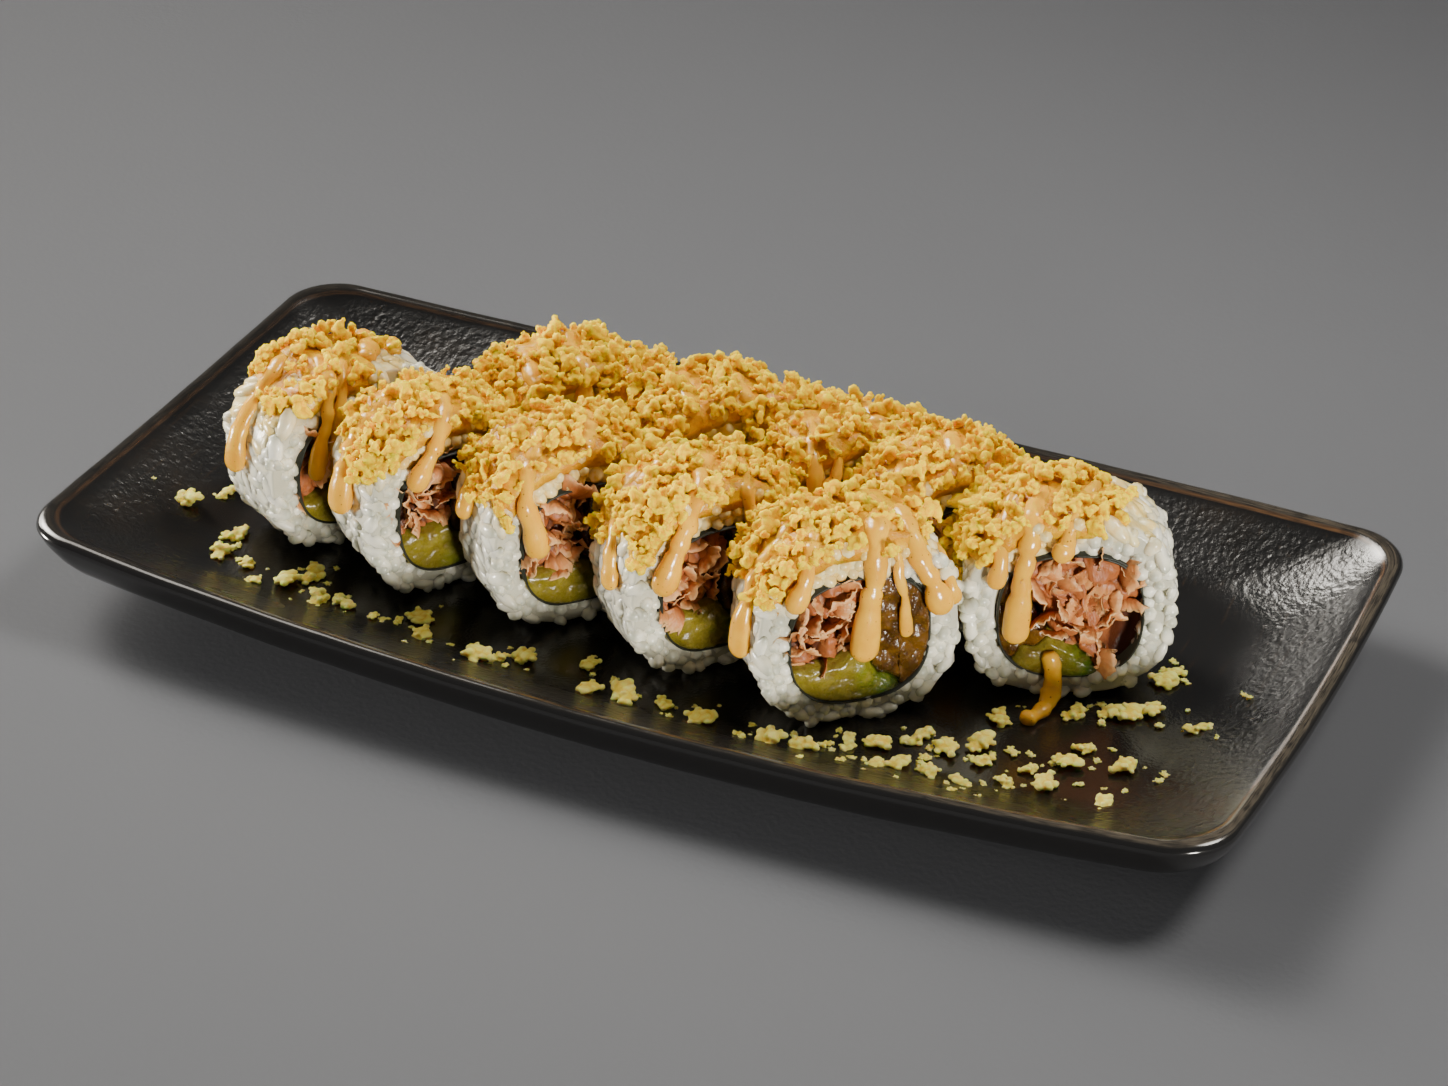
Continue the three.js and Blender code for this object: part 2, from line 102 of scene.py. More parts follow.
def smoothPath(stations, steps):   # a smooth line through every station
    stations = np.asarray(stations, float)
    padded = np.vstack([2 * stations[0] - stations[1], stations, 2 * stations[-1] - stations[-2]])
    line = []
    for index in range(len(stations) - 1):
        a, b, c, d = padded[index:index + 4]
        for step in range(steps):
            t = step / steps
            line.append(0.5 * (2 * b + (c - a) * t + (2 * a - 5 * b + 4 * c - d) * t ** 2
                               + (3 * b - a - 3 * c + d) * t ** 3))
    line.append(stations[-1])
    return np.array(line)


# Meshes are gathered as points, faces and values on the points

def skinLoops(loops, joined=False, ends="fan"):   # ends are closed by a fan or, on a thin C, a strip
    loops = np.asarray(loops, float)
    rows, around = loops.shape[:2]
    points = list(loops.reshape(-1, 3))
    here = np.arange(around)
    after = (here + 1) % around
    faces = []
    for band in range(rows if joined else rows - 1):
        low = band * around
        high = ((band + 1) % rows) * around
        faces.extend(np.stack([low + here, low + after, high + after, high + here], 1).tolist())
    last = (rows - 1) * around
    if ends == "strip":
        for step in range(around // 2 - 1):
            strip = [step, step + 1, around - 2 - step, around - 1 - step]
            faces.extend([strip, [last + corner for corner in strip]])
    elif not joined:
        points.append(loops[0].mean(0))
        points.append(loops[-1].mean(0))
        count = len(points)
        faces.extend([count - 2, step + 1 if step + 1 < around else 0, step] for step in range(around))
        faces.extend([count - 1, last + step, last + (step + 1) % around] for step in range(around))
    return np.array(points), faces


class Gathering:
    def __init__(self):
        self.points = []
        self.faces = []
        self.values = {}
        self.count = 0

    def add(self, points, faces, **values):
        self.points.append(np.asarray(points, float))
        self.faces.extend([corner + self.count for corner in face] for face in faces)
        for key, value in values.items():
            full = np.broadcast_to(np.asarray(value, float), (len(points),))
            self.values.setdefault(key, []).append(full)
        self.count += len(points)

    def build(self, name, material=None, collection=None):
        mesh = bpy.data.meshes.new(name)
        mesh.from_pydata((np.vstack(self.points) * mm).tolist(), [], self.faces)
        work = bmesh.new()
        work.from_mesh(mesh)
        bmesh.ops.recalc_face_normals(work, faces=work.faces)
        work.to_mesh(mesh)
        work.free()
        for key, parts in self.values.items():
            attribute = mesh.attributes.new(key, "FLOAT", "POINT")
            attribute.data.foreach_set("value", np.concatenate(parts).astype(np.float32))
        mesh.shade_smooth()
        if material:
            mesh.materials.append(material)
        piece = bpy.data.objects.new(name, mesh)
        (collection or bpy.context.scene.collection).objects.link(piece)
        return piece


# Node trees are written with these two: a wire is an output that takes part in sums

class Wire:
    def __init__(self, graph, socket):
        self.graph = graph
        self.socket = socket

    def sum(self, operation, first, second):
        made = self.graph.node("ShaderNodeMath", {"operation": operation}, {0: first, 1: second})
        return made["Value"]

    def __add__(self, other):
        return self.sum("ADD", self, other)

    __radd__ = __add__

    def __sub__(self, other):
        return self.sum("SUBTRACT", self, other)

    def __rsub__(self, other):
        return self.sum("SUBTRACT", other, self)

    def __mul__(self, other):
        return self.sum("MULTIPLY", self, other)

    __rmul__ = __mul__

    def step(self, start, end):   # 0 before start, 1 after end
        sockets = {"Value": self, "From Min": start, "From Max": end}
        settings = {"interpolation_type": "SMOOTHSTEP"}
        return self.graph.node("ShaderNodeMapRange", settings, sockets)["Result"]


class Made:
    def __init__(self, graph, node):
        self.graph = graph
        self.node = node

    def __getitem__(self, name):
        return Wire(self.graph, next(s for s in self.node.outputs if s.name == name and s.enabled))


class Graph:
    def __init__(self, tree):
        self.tree = tree

    def node(self, kind, settings=None, sockets=None):
        made = self.tree.nodes.new(kind)
        for key, value in (settings or {}).items():
            if key == "stops":
                for _ in range(len(value) - 2):
                    made.color_ramp.elements.new(0.5)
                for element, (place, colour) in zip(made.color_ramp.elements, value):
                    element.position = place
                    element.color = (*colour, 1)
            else:
                setattr(made, key, value)
        for key, value in (sockets or {}).items():
            if isinstance(key, int):
                socket = made.inputs[key]
            else:
                socket = next(s for s in made.inputs if s.name == key and s.enabled)
            if isinstance(value, Wire):
                self.tree.links.new(value.socket, socket)
            else:
                socket.default_value = value
        return Made(self, made)

    def place(self):
        return self.node("ShaderNodeTexCoord")["Object"]

    def stretched(self, scale, turn=(0, 0, 0)):
        sockets = {"Vector": self.place(), "Rotation": turn, "Scale": scale}
        return self.node("ShaderNodeMapping", None, sockets)["Vector"]

    def clouds(self, size, detail=3, vector=None):   # size in millimetres
        sockets = {"Vector": vector or self.place(), "Scale": 1 / (size * mm), "Detail": detail}
        return self.node("ShaderNodeTexNoise", None, sockets)["Fac"]

    def cells(self, size, feature="F1"):   # size in millimetres
        sockets = {"Vector": self.place(), "Scale": 1 / (size * mm)}
        return self.node("ShaderNodeTexVoronoi", {"feature": feature}, sockets)["Distance"]

    def value(self, name):
        return self.node("ShaderNodeAttribute", {"attribute_name": name})["Fac"]

    def mix(self, share, first, second):
        first, second = [c if isinstance(c, Wire) else (*c, 1) for c in (first, second)]
        sockets = {"Factor": share, "A": first, "B": second}
        return self.node("ShaderNodeMix", {"data_type": "RGBA"}, sockets)["Result"]

    def ramp(self, share, stops):
        return self.node("ShaderNodeValToRGB", {"stops": stops}, {"Fac": share})["Color"]

    def bump(self, height, depth):   # depth in millimetres
        return self.node("ShaderNodeBump", None, {"Height": height, "Distance": depth * mm})["Normal"]


def newMaterial(name, make):   # make returns the sockets of the surface
    material = bpy.data.materials.new(name)
    material.use_nodes = True
    material.node_tree.nodes.clear()
    graph = Graph(material.node_tree)
    surface = graph.node("ShaderNodeBsdfPrincipled", None, make(graph))
    graph.node("ShaderNodeOutputMaterial", None, {"Surface": surface["BSDF"]})
    return material


def glow(weight, radius, scale):   # light that sinks into food and comes out again, coloured
    return {"Subsurface Weight": weight, "Subsurface Radius": radius, "Subsurface Scale": scale}


# The camera

cameraPlace = {"azimuth": 25.628, "elevation": 32.633, "distance": 905.6, "lens": 99.7, "sensor": 36,
               "target": (4.13, -3.46, 23)}


def addCamera():
    around = math.radians(cameraPlace["azimuth"])
    above = math.radians(cameraPlace["elevation"])
    back = Vector((math.sin(around) * math.cos(above), -math.cos(around) * math.cos(above), math.sin(above)))
    data = bpy.data.cameras.new("camera")
    data.lens = cameraPlace["lens"]
    data.sensor_width = cameraPlace["sensor"]
    camera = bpy.data.objects.new("camera", data)
    camera.location = (Vector(cameraPlace["target"]) + back * cameraPlace["distance"]) * mm
    camera.rotation_euler = (-back).to_track_quat("-Z", "Y").to_euler()
    bpy.context.scene.collection.objects.link(camera)
    bpy.context.scene.camera = camera


# The floor and the light

studio = {
    "floor": (0.094, 0.0985, 0.112),
    "floorReach": 4000, "floorGrain": 1.4,
    "ambient": 0.09,
    "warmth": (1, 0.95, 0.86),
    "lamps": [   # spread is the angle of the beam, aim the place on the floor it points at
        dict(at=(-1.74, 0.85, 1.42), size=1.15, power=3.4, spread=29, aim=(0.06, -0.1)),   # casts the shadow
        dict(at=(0.58, 0.45, 1.15), size=0.5, power=1.35, spread=50, aim=(0.0, -0.06)),    # soft, from above
        dict(at=(-0.72, 0.22, 0.9), size=0.55, power=0.62, spread=52, aim=(0.02, -0.06)),  # on the far wall
        dict(at=(-1.14, 0.46, 0.44), size=0.5, power=0.75, spread=50),      # shines in the far right corner
        dict(at=(-1.15, -0.3, 0.06), size=0.25, power=27),                  # low, for the left sides
        dict(at=(1.0, -0.8, 0.06), size=0.25, power=31),                    # low, for the cut faces
    ],
}


def addStudio():
    gathering = Gathering()
    corners = np.array([(-1, -1, 0), (1, -1, 0), (1, 1, 0), (-1, 1, 0)]) * studio["floorReach"]
    gathering.add(corners, [(0, 1, 2, 3)])

    def floorFinish(graph):
        grain = graph.clouds(studio["floorGrain"], 2)
        return {"Base Color": (*studio["floor"], 1), "Roughness": 0.85, "Normal": graph.bump(grain, 0.05)}

    floor = gathering.build("floor", newMaterial("floor", floorFinish))
    for index, lamp in enumerate(studio["lamps"]):
        data = bpy.data.lights.new(f"lamp{index}", "AREA")
        data.shape = "DISK"
        data.size = lamp["size"]
        data.energy = lamp["power"]
        data.color = studio["warmth"]
        data.spread = math.radians(lamp.get("spread", 180))
        light = bpy.data.objects.new(f"lamp{index}", data)
        light.location = lamp["at"]
        way = Vector((*lamp.get("aim", (0, 0)), 0)) - light.location
        light.rotation_euler = way.to_track_quat("-Z", "Y").to_euler()
        bpy.context.scene.collection.objects.link(light)
    world = bpy.data.worlds.new("studio")
    world.use_nodes = True
    background = world.node_tree.nodes["Background"]
    background.inputs["Color"].default_value = (1, 1, 1, 1)
    background.inputs["Strength"].default_value = studio["ambient"]
    bpy.context.scene.world = world


addCamera()
addStudio()
print("camera and studio are up")


# The plate

plate = {
    "rim": dict(halfLength=145, halfWidth=67.5, cornerRadius=14.3, longBow=5.6, shortBow=1.1),
    "floor": dict(halfLength=112, halfWidth=42, cornerRadius=20, longBow=3, shortBow=0.5),
    "foot": dict(halfLength=103, halfWidth=38, cornerRadius=18, longBow=3, shortBow=0.5),
    "cornerHeight": 23, "longSideDip": 4, "shortSideDip": 2.5, "floorHeight": 8,
    "bandInner": 3.6, "innerDrop": 0.9, "wallCurve": 1.55, "wallSteps": 22,
    "band": [(2.9, 0.3), (2.2, 0), (1.5, 0.02), (0.9, 0.2), (0.4, 0.6), (0.1, 1.1), (0, 1.7)],
    "outerWall": [(0.3, 2.6), (0.8, 4.2), (1.6, 6), (2.6, 8), (4, 10), (5.8, 11.7), (8, 13)],
    "footRows": [(-14, 3.2), (-9, 2.75), (-4, 2.5), (-1, 2.4), (-0.4, 1.6), (-0.1, 0.5), (0.3, 0), (2.6, 0),
                 (4.7, 0), (5.1, 0.5), (5.4, 1.4), (6, 1.8)],   # inset of the foot's outline and height
    "floorRings": (0.12, 0.25, 0.38, 0.5, 0.62, 0.74, 0.86, 0.95),
    "recessRings": (0.9, 0.6, 0.3), "recessInset": 12, "recessHeight": 1.8,   # inside the foot ring
    "longSteps": 64, "shortSteps": 36, "cornerSteps": 14, "wobble": 0.22, "wobbleSize": 23,
    "floorDepth": 40, "wallDepth": 33, "footDepth": -20,   # values of rimDepth there, instead of real ones
    "black": (0.0085, 0.0083, 0.0085), "brown": (0.0145, 0.0112, 0.0085), "scratch": (0.045, 0.027, 0.014),
    "crest": (0.080, 0.067, 0.050), "edge": (0.12, 0.064, 0.031),
}


def plateOutline(shape):
    straightX = shape["halfLength"] - shape["cornerRadius"]
    straightY = shape["halfWidth"] - shape["cornerRadius"]
    radius = shape["cornerRadius"]
    points = []
    for side in (1, -1):
        for share in np.linspace(0, 1, plate["shortSteps"], endpoint=False):
            bow = shape["shortBow"] * (1 - (2 * share - 1) ** 2)
            points.append((side * (shape["halfLength"] + bow), side * blend(-straightY, straightY, share)))
        for angle in np.linspace(0, math.pi / 2, plate["cornerSteps"], endpoint=False):
            corner = (straightX + radius * math.cos(angle), straightY + radius * math.sin(angle))
            points.append((side * corner[0], side * corner[1]))
        for share in np.linspace(0, 1, plate["longSteps"], endpoint=False):
            bow = shape["longBow"] * (1 - (2 * share - 1) ** 2)
            points.append((side * blend(straightX, -straightX, share), side * (shape["halfWidth"] + bow)))
        for angle in np.linspace(0, math.pi / 2, plate["cornerSteps"], endpoint=False):
            corner = (straightX + radius * math.sin(angle), straightY + radius * math.cos(angle))
            points.append((-side * corner[0], side * corner[1]))
    return np.array(points)


def insetShape(shape, inset):
    return {**shape, "halfLength": shape["halfLength"] - inset, "halfWidth": shape["halfWidth"] - inset}


def blendShape(inner, outer, share):
    return {key: blend(inner[key], outer[key], share) for key in inner}


def rimHeight(outline, shape):   # highest at the four corners
    x, y = outline.T
    longDip = plate["longSideDip"] * np.clip(1 - (x / shape["halfLength"]) ** 2, 0, None)
    shortDip = plate["shortSideDip"] * np.clip(1 - (y / shape["halfWidth"]) ** 2, 0, None)
    return plate["cornerHeight"] - longDip - shortDip


def loopAt(outline, height):
    return np.column_stack([outline, np.broadcast_to(height, len(outline))])


def plateLoops():
    loops = []
    depths = []   # how far each loop lies in from the rim's outer edge, in millimetres
    floorOutline = plateOutline(plate["floor"])
    for share in plate["floorRings"]:
        loops.append(loopAt(floorOutline * share, plate["floorHeight"]))
        depths.append(plate["floorDepth"])
    inner = insetShape(plate["rim"], plate["bandInner"])
    for share in np.linspace(0, 1, plate["wallSteps"]):
        shape = blendShape(plate["floor"], inner, share)
        outline = plateOutline(shape)
        top = rimHeight(outline, shape) - plate["innerDrop"]
        height = blend(plate["floorHeight"], top, share ** plate["wallCurve"])
        loops.append(loopAt(outline, height))
        depths.append(plate["bandInner"] + plate["wallDepth"] * (1 - share))
    for inset, drop in plate["band"] + plate["outerWall"]:
        shape = insetShape(plate["rim"], inset)
        outline = plateOutline(shape)
        loops.append(loopAt(outline, rimHeight(outline, shape) - drop))
        depths.append(inset if drop < 1.9 else -drop)
    for inset, height in plate["footRows"]:
        loops.append(loopAt(plateOutline(insetShape(plate["foot"], inset)), height))
    recess = plateOutline(insetShape(plate["foot"], plate["recessInset"]))
    for share in plate["recessRings"]:
        loops.append(loopAt(recess * share, plate["recessHeight"]))
    depths.extend([plate["footDepth"]] * (len(loops) - len(depths)))
    return np.array(loops), np.array(depths)


def dishHeight(x, y):   # of the plate's upper surface
    top = insetShape(plate["rim"], plate["bandInner"])
    low = plate["floor"]
    shareX = (abs(x) - low["halfLength"]) / (top["halfLength"] - low["halfLength"])
    floorY = low["halfWidth"] + low["longBow"] * (1 - (x / low["halfLength"]) ** 2)
    topY = top["halfWidth"] + top["longBow"] * (1 - (x / top["halfLength"]) ** 2)
    share = min(max(shareX, (abs(y) - floorY) / (topY - floorY), 0), 1)
    height = rimHeight(np.array([(x, y)]), top)[0] - plate["innerDrop"]
    return blend(plate["floorHeight"], height, share ** plate["wallCurve"])


def glazeFinish(graph):
    depth = graph.value("rimDepth")
    wall = depth.step(34, 20) * depth.step(3.8, 9)
    dish = depth.step(3.6, 6)
    hammer = graph.cells(1.7, "SMOOTH_F1") * 0.6 + graph.clouds(1.2, 2) * 0.7
    leather = graph.clouds(0.8, 2) * 0.3
    relief = graph.bump(hammer * (wall * 0.9 + dish * 0.08) + leather * (dish * 0.7 + 0.15), 0.26)
    side = graph.node("ShaderNodeSeparateXYZ", None, {"Vector": graph.place()})
    right = side["X"].step(0.04, 0.13)
    worn = graph.clouds(7, 5).step(0.22, 0.5) * (right * 0.75 + 0.25)
    brown = graph.clouds(26, 3).step(0.5, 0.72)
    scratches = graph.clouds(1.2, 4, graph.stretched((1, 0.06, 1), (0, 0, 0.5))).step(0.6, 0.72)
    body = graph.mix(brown * dish, plate["black"], plate["brown"])
    body = graph.mix(scratches * dish * 0.25, body, plate["scratch"])
    along = graph.node("ShaderNodeCombineXYZ", None, {   # streaks that run round the rim
        "X": depth * mm, "Y": (side["X"] + side["Y"]) * 0.05})["Vector"]
    streaks = graph.clouds(0.3, 3, along).step(0.32, 0.66)
    crest = depth.step(0.5, 1.3) * depth.step(3.5, 2.6)
    body = graph.mix(crest * worn * (streaks * 0.8 + 0.2), body, plate["crest"])
    line = depth.step(2.9, 3.4) * depth.step(4.2, 3.7)
    body = graph.mix(line * (worn * 0.85 + 0.1) * (streaks * 0.6 + 0.4), body, plate["edge"])
    smear = graph.clouds(14, 4)
    rough = 0.1 + smear * 0.1 + wall * 0.09 + dish * 0.04
    return {"Base Color": body, "Roughness": rough, "Normal": relief, "Specular IOR Level": 0.62}


glaze = newMaterial("plateGlaze", glazeFinish)


def makePlate():
    loops, depths = plateLoops()
    points, faces = skinLoops(loops)
    rimDepth = np.append(np.repeat(depths, loops.shape[1]), [plate["floorDepth"], plate["footDepth"]])
    moved = points.copy()
    for index in np.nonzero(np.abs(rimDepth) < 30)[0]:
        moved[index, 2] += plate["wobble"] * ripple(points[index], plate["wobbleSize"], 1.5)
    gathering = Gathering()
    gathering.add(moved, faces, rimDepth=rimDepth)
    return gathering.build("plateDish", glaze)


plateDish = makePlate()
print("plate is thrown")


# A roll's own frame: the cut face looks along -Y, X runs across it, Z is up from its underside

def toPlate(roll, points):
    points = np.asarray(points, float)
    turn = math.radians(roll["turn"])
    x = roll["x"] + points[:, 0] * math.cos(turn) - points[:, 1] * math.sin(turn)
    y = roll["y"] + points[:, 0] * math.sin(turn) + points[:, 1] * math.cos(turn)
    return np.column_stack([x, y, points[:, 2] + rollBase])


def squareRound(angles):
    cosine, sine = np.cos(angles), np.sin(angles)
    power = 2 / squareness
    return np.sign(cosine) * np.abs(cosine) ** power, np.sign(sine) * np.abs(sine) ** power


rice = {
    "side": 5.8, "bottom": 4.2, "top": 6.8,   # how thick the rice is round the opening
    "sides": 84, "rounding": 2.6, "swell": 0.4, "underGrains": 0.1, "faceRecess": 1.4,
    "edgeRows": (0, 0.5, 1.3), "middleRows": 9, "middleStart": 2.9,   # of the core, from its end inwards
    "faceRings": 5, "faceInset": 0.5, "bump": 0.5, "bumpSize": 5, "lowest": 0.3,
    "long": (7.0, 3.4, 2.6), "round": (3.8, 3.4, 4.4),   # a grain's length, width and thickness
    # How grains lie over the sides and the cut faces, then the colours
    "Sides": dict(where="outside", spacing=3.0, sizes=(0.8, 1.2), tilt=0.2, lift=-0.95, spread=0.5,
                  keepHost=True),
    "Faces": dict(where="ends", spacing=2.5, sizes=(0.82, 1.15), tilt=0.6, lift=-0.95, spread=0.6),
    # after the grain tones comes a painted shade for the middle of a grain's end, so its rim looks lit
    # through
    "grain": ((0.84, 0.81, 0.65), (0.94, 0.92, 0.78)), "heart": (0.35, 0.39, 0.31),
    # painted shade for the core between the grains on the cut faces
    "crease": (0.42, 0.42, 0.34), "stained": ((0.90, 0.74, 0.32), (0.86, 0.56, 0.07)),
}
topping = {   # the bed of glaze round the upper side, the crumbs on it and the stain below it
    "bed": 2.2, "fade": 0.36, "lump": 0.9, "sunk": 1.2, "overhang": -0.6, "behind": 1.4, "under": 1.6,
    "lip": 2.2, "ragged": 0.7, "raise": 0.6, "steps": 44, "across": 20, "waver": 0.22, "waverSize": 9,
    "clear": 1.3,   # how far the crumbs keep from the sauce
    "stainStart": 0.62, "stainLeft": 0.15, "stainRight": -0.1,   # how the amber runs down into the rice
    "scatter": dict(where="cover", spacing=2.9, sizes=(0.68, 1.2), tilt=1.2, lift=0.2, spread=1.6),
    "glaze": ((0.62, 0.27, 0.002), (0.74, 0.42, 0.004)), "burnt": (0.30, 0.10, 0.001),
}


def openingOf(roll):
    halfWidth = roll["width"] / 2 - rice["side"]
    halfHeight = (roll["height"] - rice["bottom"] - rice["top"]) / 2
    return halfWidth, halfHeight, (roll["height"] + rice["bottom"] - rice["top"]) / 2


def openingLoop(roll, y, inset, angles):
    halfWidth, halfHeight, middle = openingOf(roll)
    across, up = squareRound(angles)
    x = across * (halfWidth - inset)
    return np.column_stack([x, np.broadcast_to(y, len(x)), middle + up * (halfHeight - inset)])


def outerLoop(roll, y, inset, angles):
    across, up = squareRound(angles)
    x = across * (roll["width"] / 2 - inset)
    z = roll["height"] / 2 + up * (roll["height"] / 2 - inset)
    return np.column_stack([x, np.broadcast_to(y, len(x)), np.maximum(z, 0)])


def outwards(roll, point):   # level with the cut face, away from the middle
    x = point[0] / (roll["width"] / 2)
    z = (point[2] - roll["height"] / 2) / (roll["height"] / 2)
    direction = np.array([np.sign(x) * abs(x) ** 1.6, 0, np.sign(z) * abs(z) ** 1.6])
    return direction / max(np.linalg.norm(direction), 1e-6)


def coverAt(roll, x, y, z):   # how fully crumbs cover the rice there, from 0 to 1
    up = (z - roll["height"] / 2) / (roll["height"] / 2)
    limit = blend(roll["left"], roll["right"], smoothStep(-0.6, 0.6, x / (roll["width"] / 2)))
    limit = limit + topping["waver"] * ripple((x, y, z), topping["waverSize"], roll["seed"])
    return float(smoothStep(limit, limit + topping["fade"], up))


def edgeInset(roll, y):
    depth = roll["thickness"] / 2 - abs(y)
    radius = rice["rounding"]
    swell = rice["swell"] * (1 - (2 * y / roll["thickness"]) ** 2)
    if depth >= radius:
        return -swell
    return radius - math.sqrt(max(radius ** 2 - (radius - depth) ** 2, 0)) - swell


def riceCore(roll):   # ends short of the cut faces, the grains reach them
    angles = np.linspace(0, 2 * math.pi, rice["sides"], endpoint=False)
    short = roll["thickness"] / 2 - rice["faceRecess"]
    inward = rice["underGrains"]
    inner = short - rice["middleStart"]
    edges = [short - row for row in rice["edgeRows"]]
    ys = [*(-y for y in edges), *np.linspace(-inner, inner, rice["middleRows"]), *edges[::-1]]
    loops = [outerLoop(roll, y, edgeInset(roll, y) + inward, angles) for y in ys]
    for side in (short, -short):
        rim = outerLoop(roll, side, edgeInset(roll, side) + inward + rice["faceInset"], angles)
        hole = openingLoop(roll, side, 0, angles)
        rings = [blend(rim, hole, share) for share in np.linspace(0, 1, rice["faceRings"])]
        loops += rings if side > 0 else rings[::-1]
    points, faces = skinLoops(loops, joined=True)
    for point in points:
        bump = rice["bump"] * ripple(point, rice["bumpSize"], roll["seed"])
        point[0] += bump * np.sign(point[0])
        point[2] = max(point[2] + bump * np.sign(point[2] - roll["height"] / 2), rice["lowest"])
    return points, faces


def riceGathering(names):   # outside and ends say where the long grains lie and where the cut ones show
    gathering = Gathering()
    for name in names:
        roll = rolls[name]
        points, faces = riceCore(roll)
        halfWidth, halfHeight, middle = openingOf(roll)
        start = topping["stainStart"]
        rows = []
        for x, y, z in points:
            cover = coverAt(roll, x, y, z)
            inHole = (abs(x) / halfWidth) ** squareness + (abs(z - middle) / halfHeight) ** squareness < 0.97
            depth = roll["thickness"] / 2 - abs(y)
            onFace = depth < rice["faceRecess"] + 0.1 and not inHole
            high = (z - roll["height"] * start) / (roll["height"] * (1 - start))
            patch = ripple((x, y, z), 6, roll["seed"] + 4) + 0.35 * ripple((x, y, z), 2.2, roll["seed"])
            more = topping["stainLeft"] if x < 0 else topping["stainRight"]
            drawn = float(smoothStep(0.15, 0.75, high + 0.7 * patch + more))
            stained = max(cover, drawn * (0.6 if onFace else 1))
            rows.append((stained, not (inHole or onFace or cover > 0.93), onFace))
        stain, outside, ends = np.array(rows, float).T
        # the cut faces' core is marked for painted shade between the grains
        gathering.add(toPlate(roll, points), faces, stain=stain, outside=outside, ends=ends, crevice=ends)
    return gathering


# Kinds of small thing, made once each and scattered over a host by one node tree

def sphereLoops(rings, around):
    loops = []
    for ring in range(1, rings):
        tilt = math.pi * ring / rings
        angles = np.linspace(0, 2 * math.pi, around, endpoint=False)
        loops.append(np.column_stack([np.full(around, -math.cos(tilt)), math.sin(tilt) * np.cos(angles),
                                      math.sin(tilt) * np.sin(angles)]))
    points, faces = skinLoops(loops)
    points[-2] = (-1, 0, 0)
    points[-1] = (1, 0, 0)
    return points, faces


def icosphere(divisions):
    work = bmesh.new()
    bmesh.ops.create_icosphere(work, subdivisions=divisions, radius=1)
    points = np.array([tuple(vert.co) for vert in work.verts])
    faces = [[vert.index for vert in face.verts] for face in work.faces]
    work.free()
    return points, faces


def kindsOf(name, meshes):   # each mesh is points, faces and how near the tip each point is
    collection = bpy.data.collections.new(name)
    bpy.context.scene.collection.children.link(collection)
    for index, (points, faces, tip) in enumerate(meshes):
        gathering = Gathering()
        gathering.add(points, faces, tip=tip)
        gathering.build(f"{name}{index:02d}", None, collection)
    return collection


def dropKinds(collection):
    for piece in list(collection.objects):
        bpy.data.objects.remove(piece)
    bpy.data.collections.remove(collection)


def riceGrains(size, upright, kinds, seed):
    draw = random.Random(seed)
    meshes = []
    for _ in range(kinds):
        ball, faces = sphereLoops(5, 7)
        along = ball[:, 0]
        grain = ball * np.array(size)[[2, 0, 1] if upright else [0, 1, 2]] / 2
        grain[:, 1] *= 1 + 0.16 * along * draw.choice((-1, 1))
        grain[:, 1] += draw.uniform(-0.5, 0.5) * along ** 2
        grain[:, 2] += draw.uniform(-0.25, 0.1) * along ** 2
        if upright:
            grain = grain[:, [2, 1, 0]]
        meshes.append((grain * draw.uniform(0.9, 1.1), faces, np.abs(along) ** 3))
    return meshes


# Crumbs of fried batter: knobs run together in florets, thin flakes and shreds

crumb = {
    "floret": dict(bodies=2, body=(1.0, 1.5), knobs=(14, 20), radius=(0.5, 0.85), flat=0.85),
    "flake": dict(bodies=3, body=(1.0, 1.7), knobs=(16, 24), radius=(0.45, 0.8), flat=0.4),
    "shred": dict(bodies=5, body=(0.5, 0.75), knobs=(9, 13), radius=(0.35, 0.6), flat=0.8),
    "voxel": 0.24, "triangles": 220, "fallenTriangles": 340, "smallTriangles": 110,
    "heapedColours": ((0.87, 0.52, 0.001), (0.68, 0.38, 0.001), (0.93, 0.65, 0.002)),   # body, painted shade for the creases, painted highlight for the knob tops
    # the same three for the crumbs on the plate: body, painted crease shade, painted knob-top highlight
    "fallenColours": ((0.95, 0.76, 0.15), (0.85, 0.58, 0.06), (1.0, 0.90, 0.28)),
}


def crumbLumps(draw, shape):   # a few bodies in a row with knobs all round them, as centres and sizes
    flatten = np.array([1, 1, shape["flat"]])
    lumps = []
    centre = np.zeros(3)
    for _ in range(shape["bodies"]):
        size = draw.uniform(*shape["body"])
        lumps.append((centre, size * flatten * [draw.uniform(0.8, 1.25) for _ in range(3)]))
        way = np.array([draw.gauss(0.6, 0.6), draw.gauss(0, 0.8), draw.gauss(0, 0.5)]) * flatten
        centre = centre + way / np.linalg.norm(way) * size * 1.25
    bodies = list(lumps)
    for _ in range(draw.randint(*shape["knobs"])):
        way = np.array([draw.gauss(0, 1) for _ in range(3)]) * flatten
        way /= np.linalg.norm(way)
        start, base = draw.choice(bodies)
        radius = draw.uniform(*shape["radius"])
        knob = radius * np.array([draw.uniform(0.75, 1.25) for _ in range(3)])
        lumps.append((start + way * (base + 0.45 * radius), knob))
    return lumps


def meltedTogether(gathering, triangles):   # knobs become one lump with its triangles thinned out
    piece = gathering.build("melting")
    remesh = piece.modifiers.new("remesh", "REMESH")
    remesh.mode = "VOXEL"
    remesh.voxel_size = crumb["voxel"] * mm
    graph = bpy.context.evaluated_depsgraph_get()
    found = sum(len(face.vertices) - 2 for face in piece.evaluated_get(graph).data.polygons)
    thin = piece.modifiers.new("thin", "DECIMATE")
    thin.ratio = min(1.0, triangles / found)
    graph = bpy.context.evaluated_depsgraph_get()
    mesh = bpy.data.meshes.new_from_object(piece.evaluated_get(graph))
    points = np.array([tuple(vert.co) for vert in mesh.vertices]) / mm
    faces = [list(face.vertices) for face in mesh.polygons]
    bpy.data.objects.remove(piece)
    return points, faces


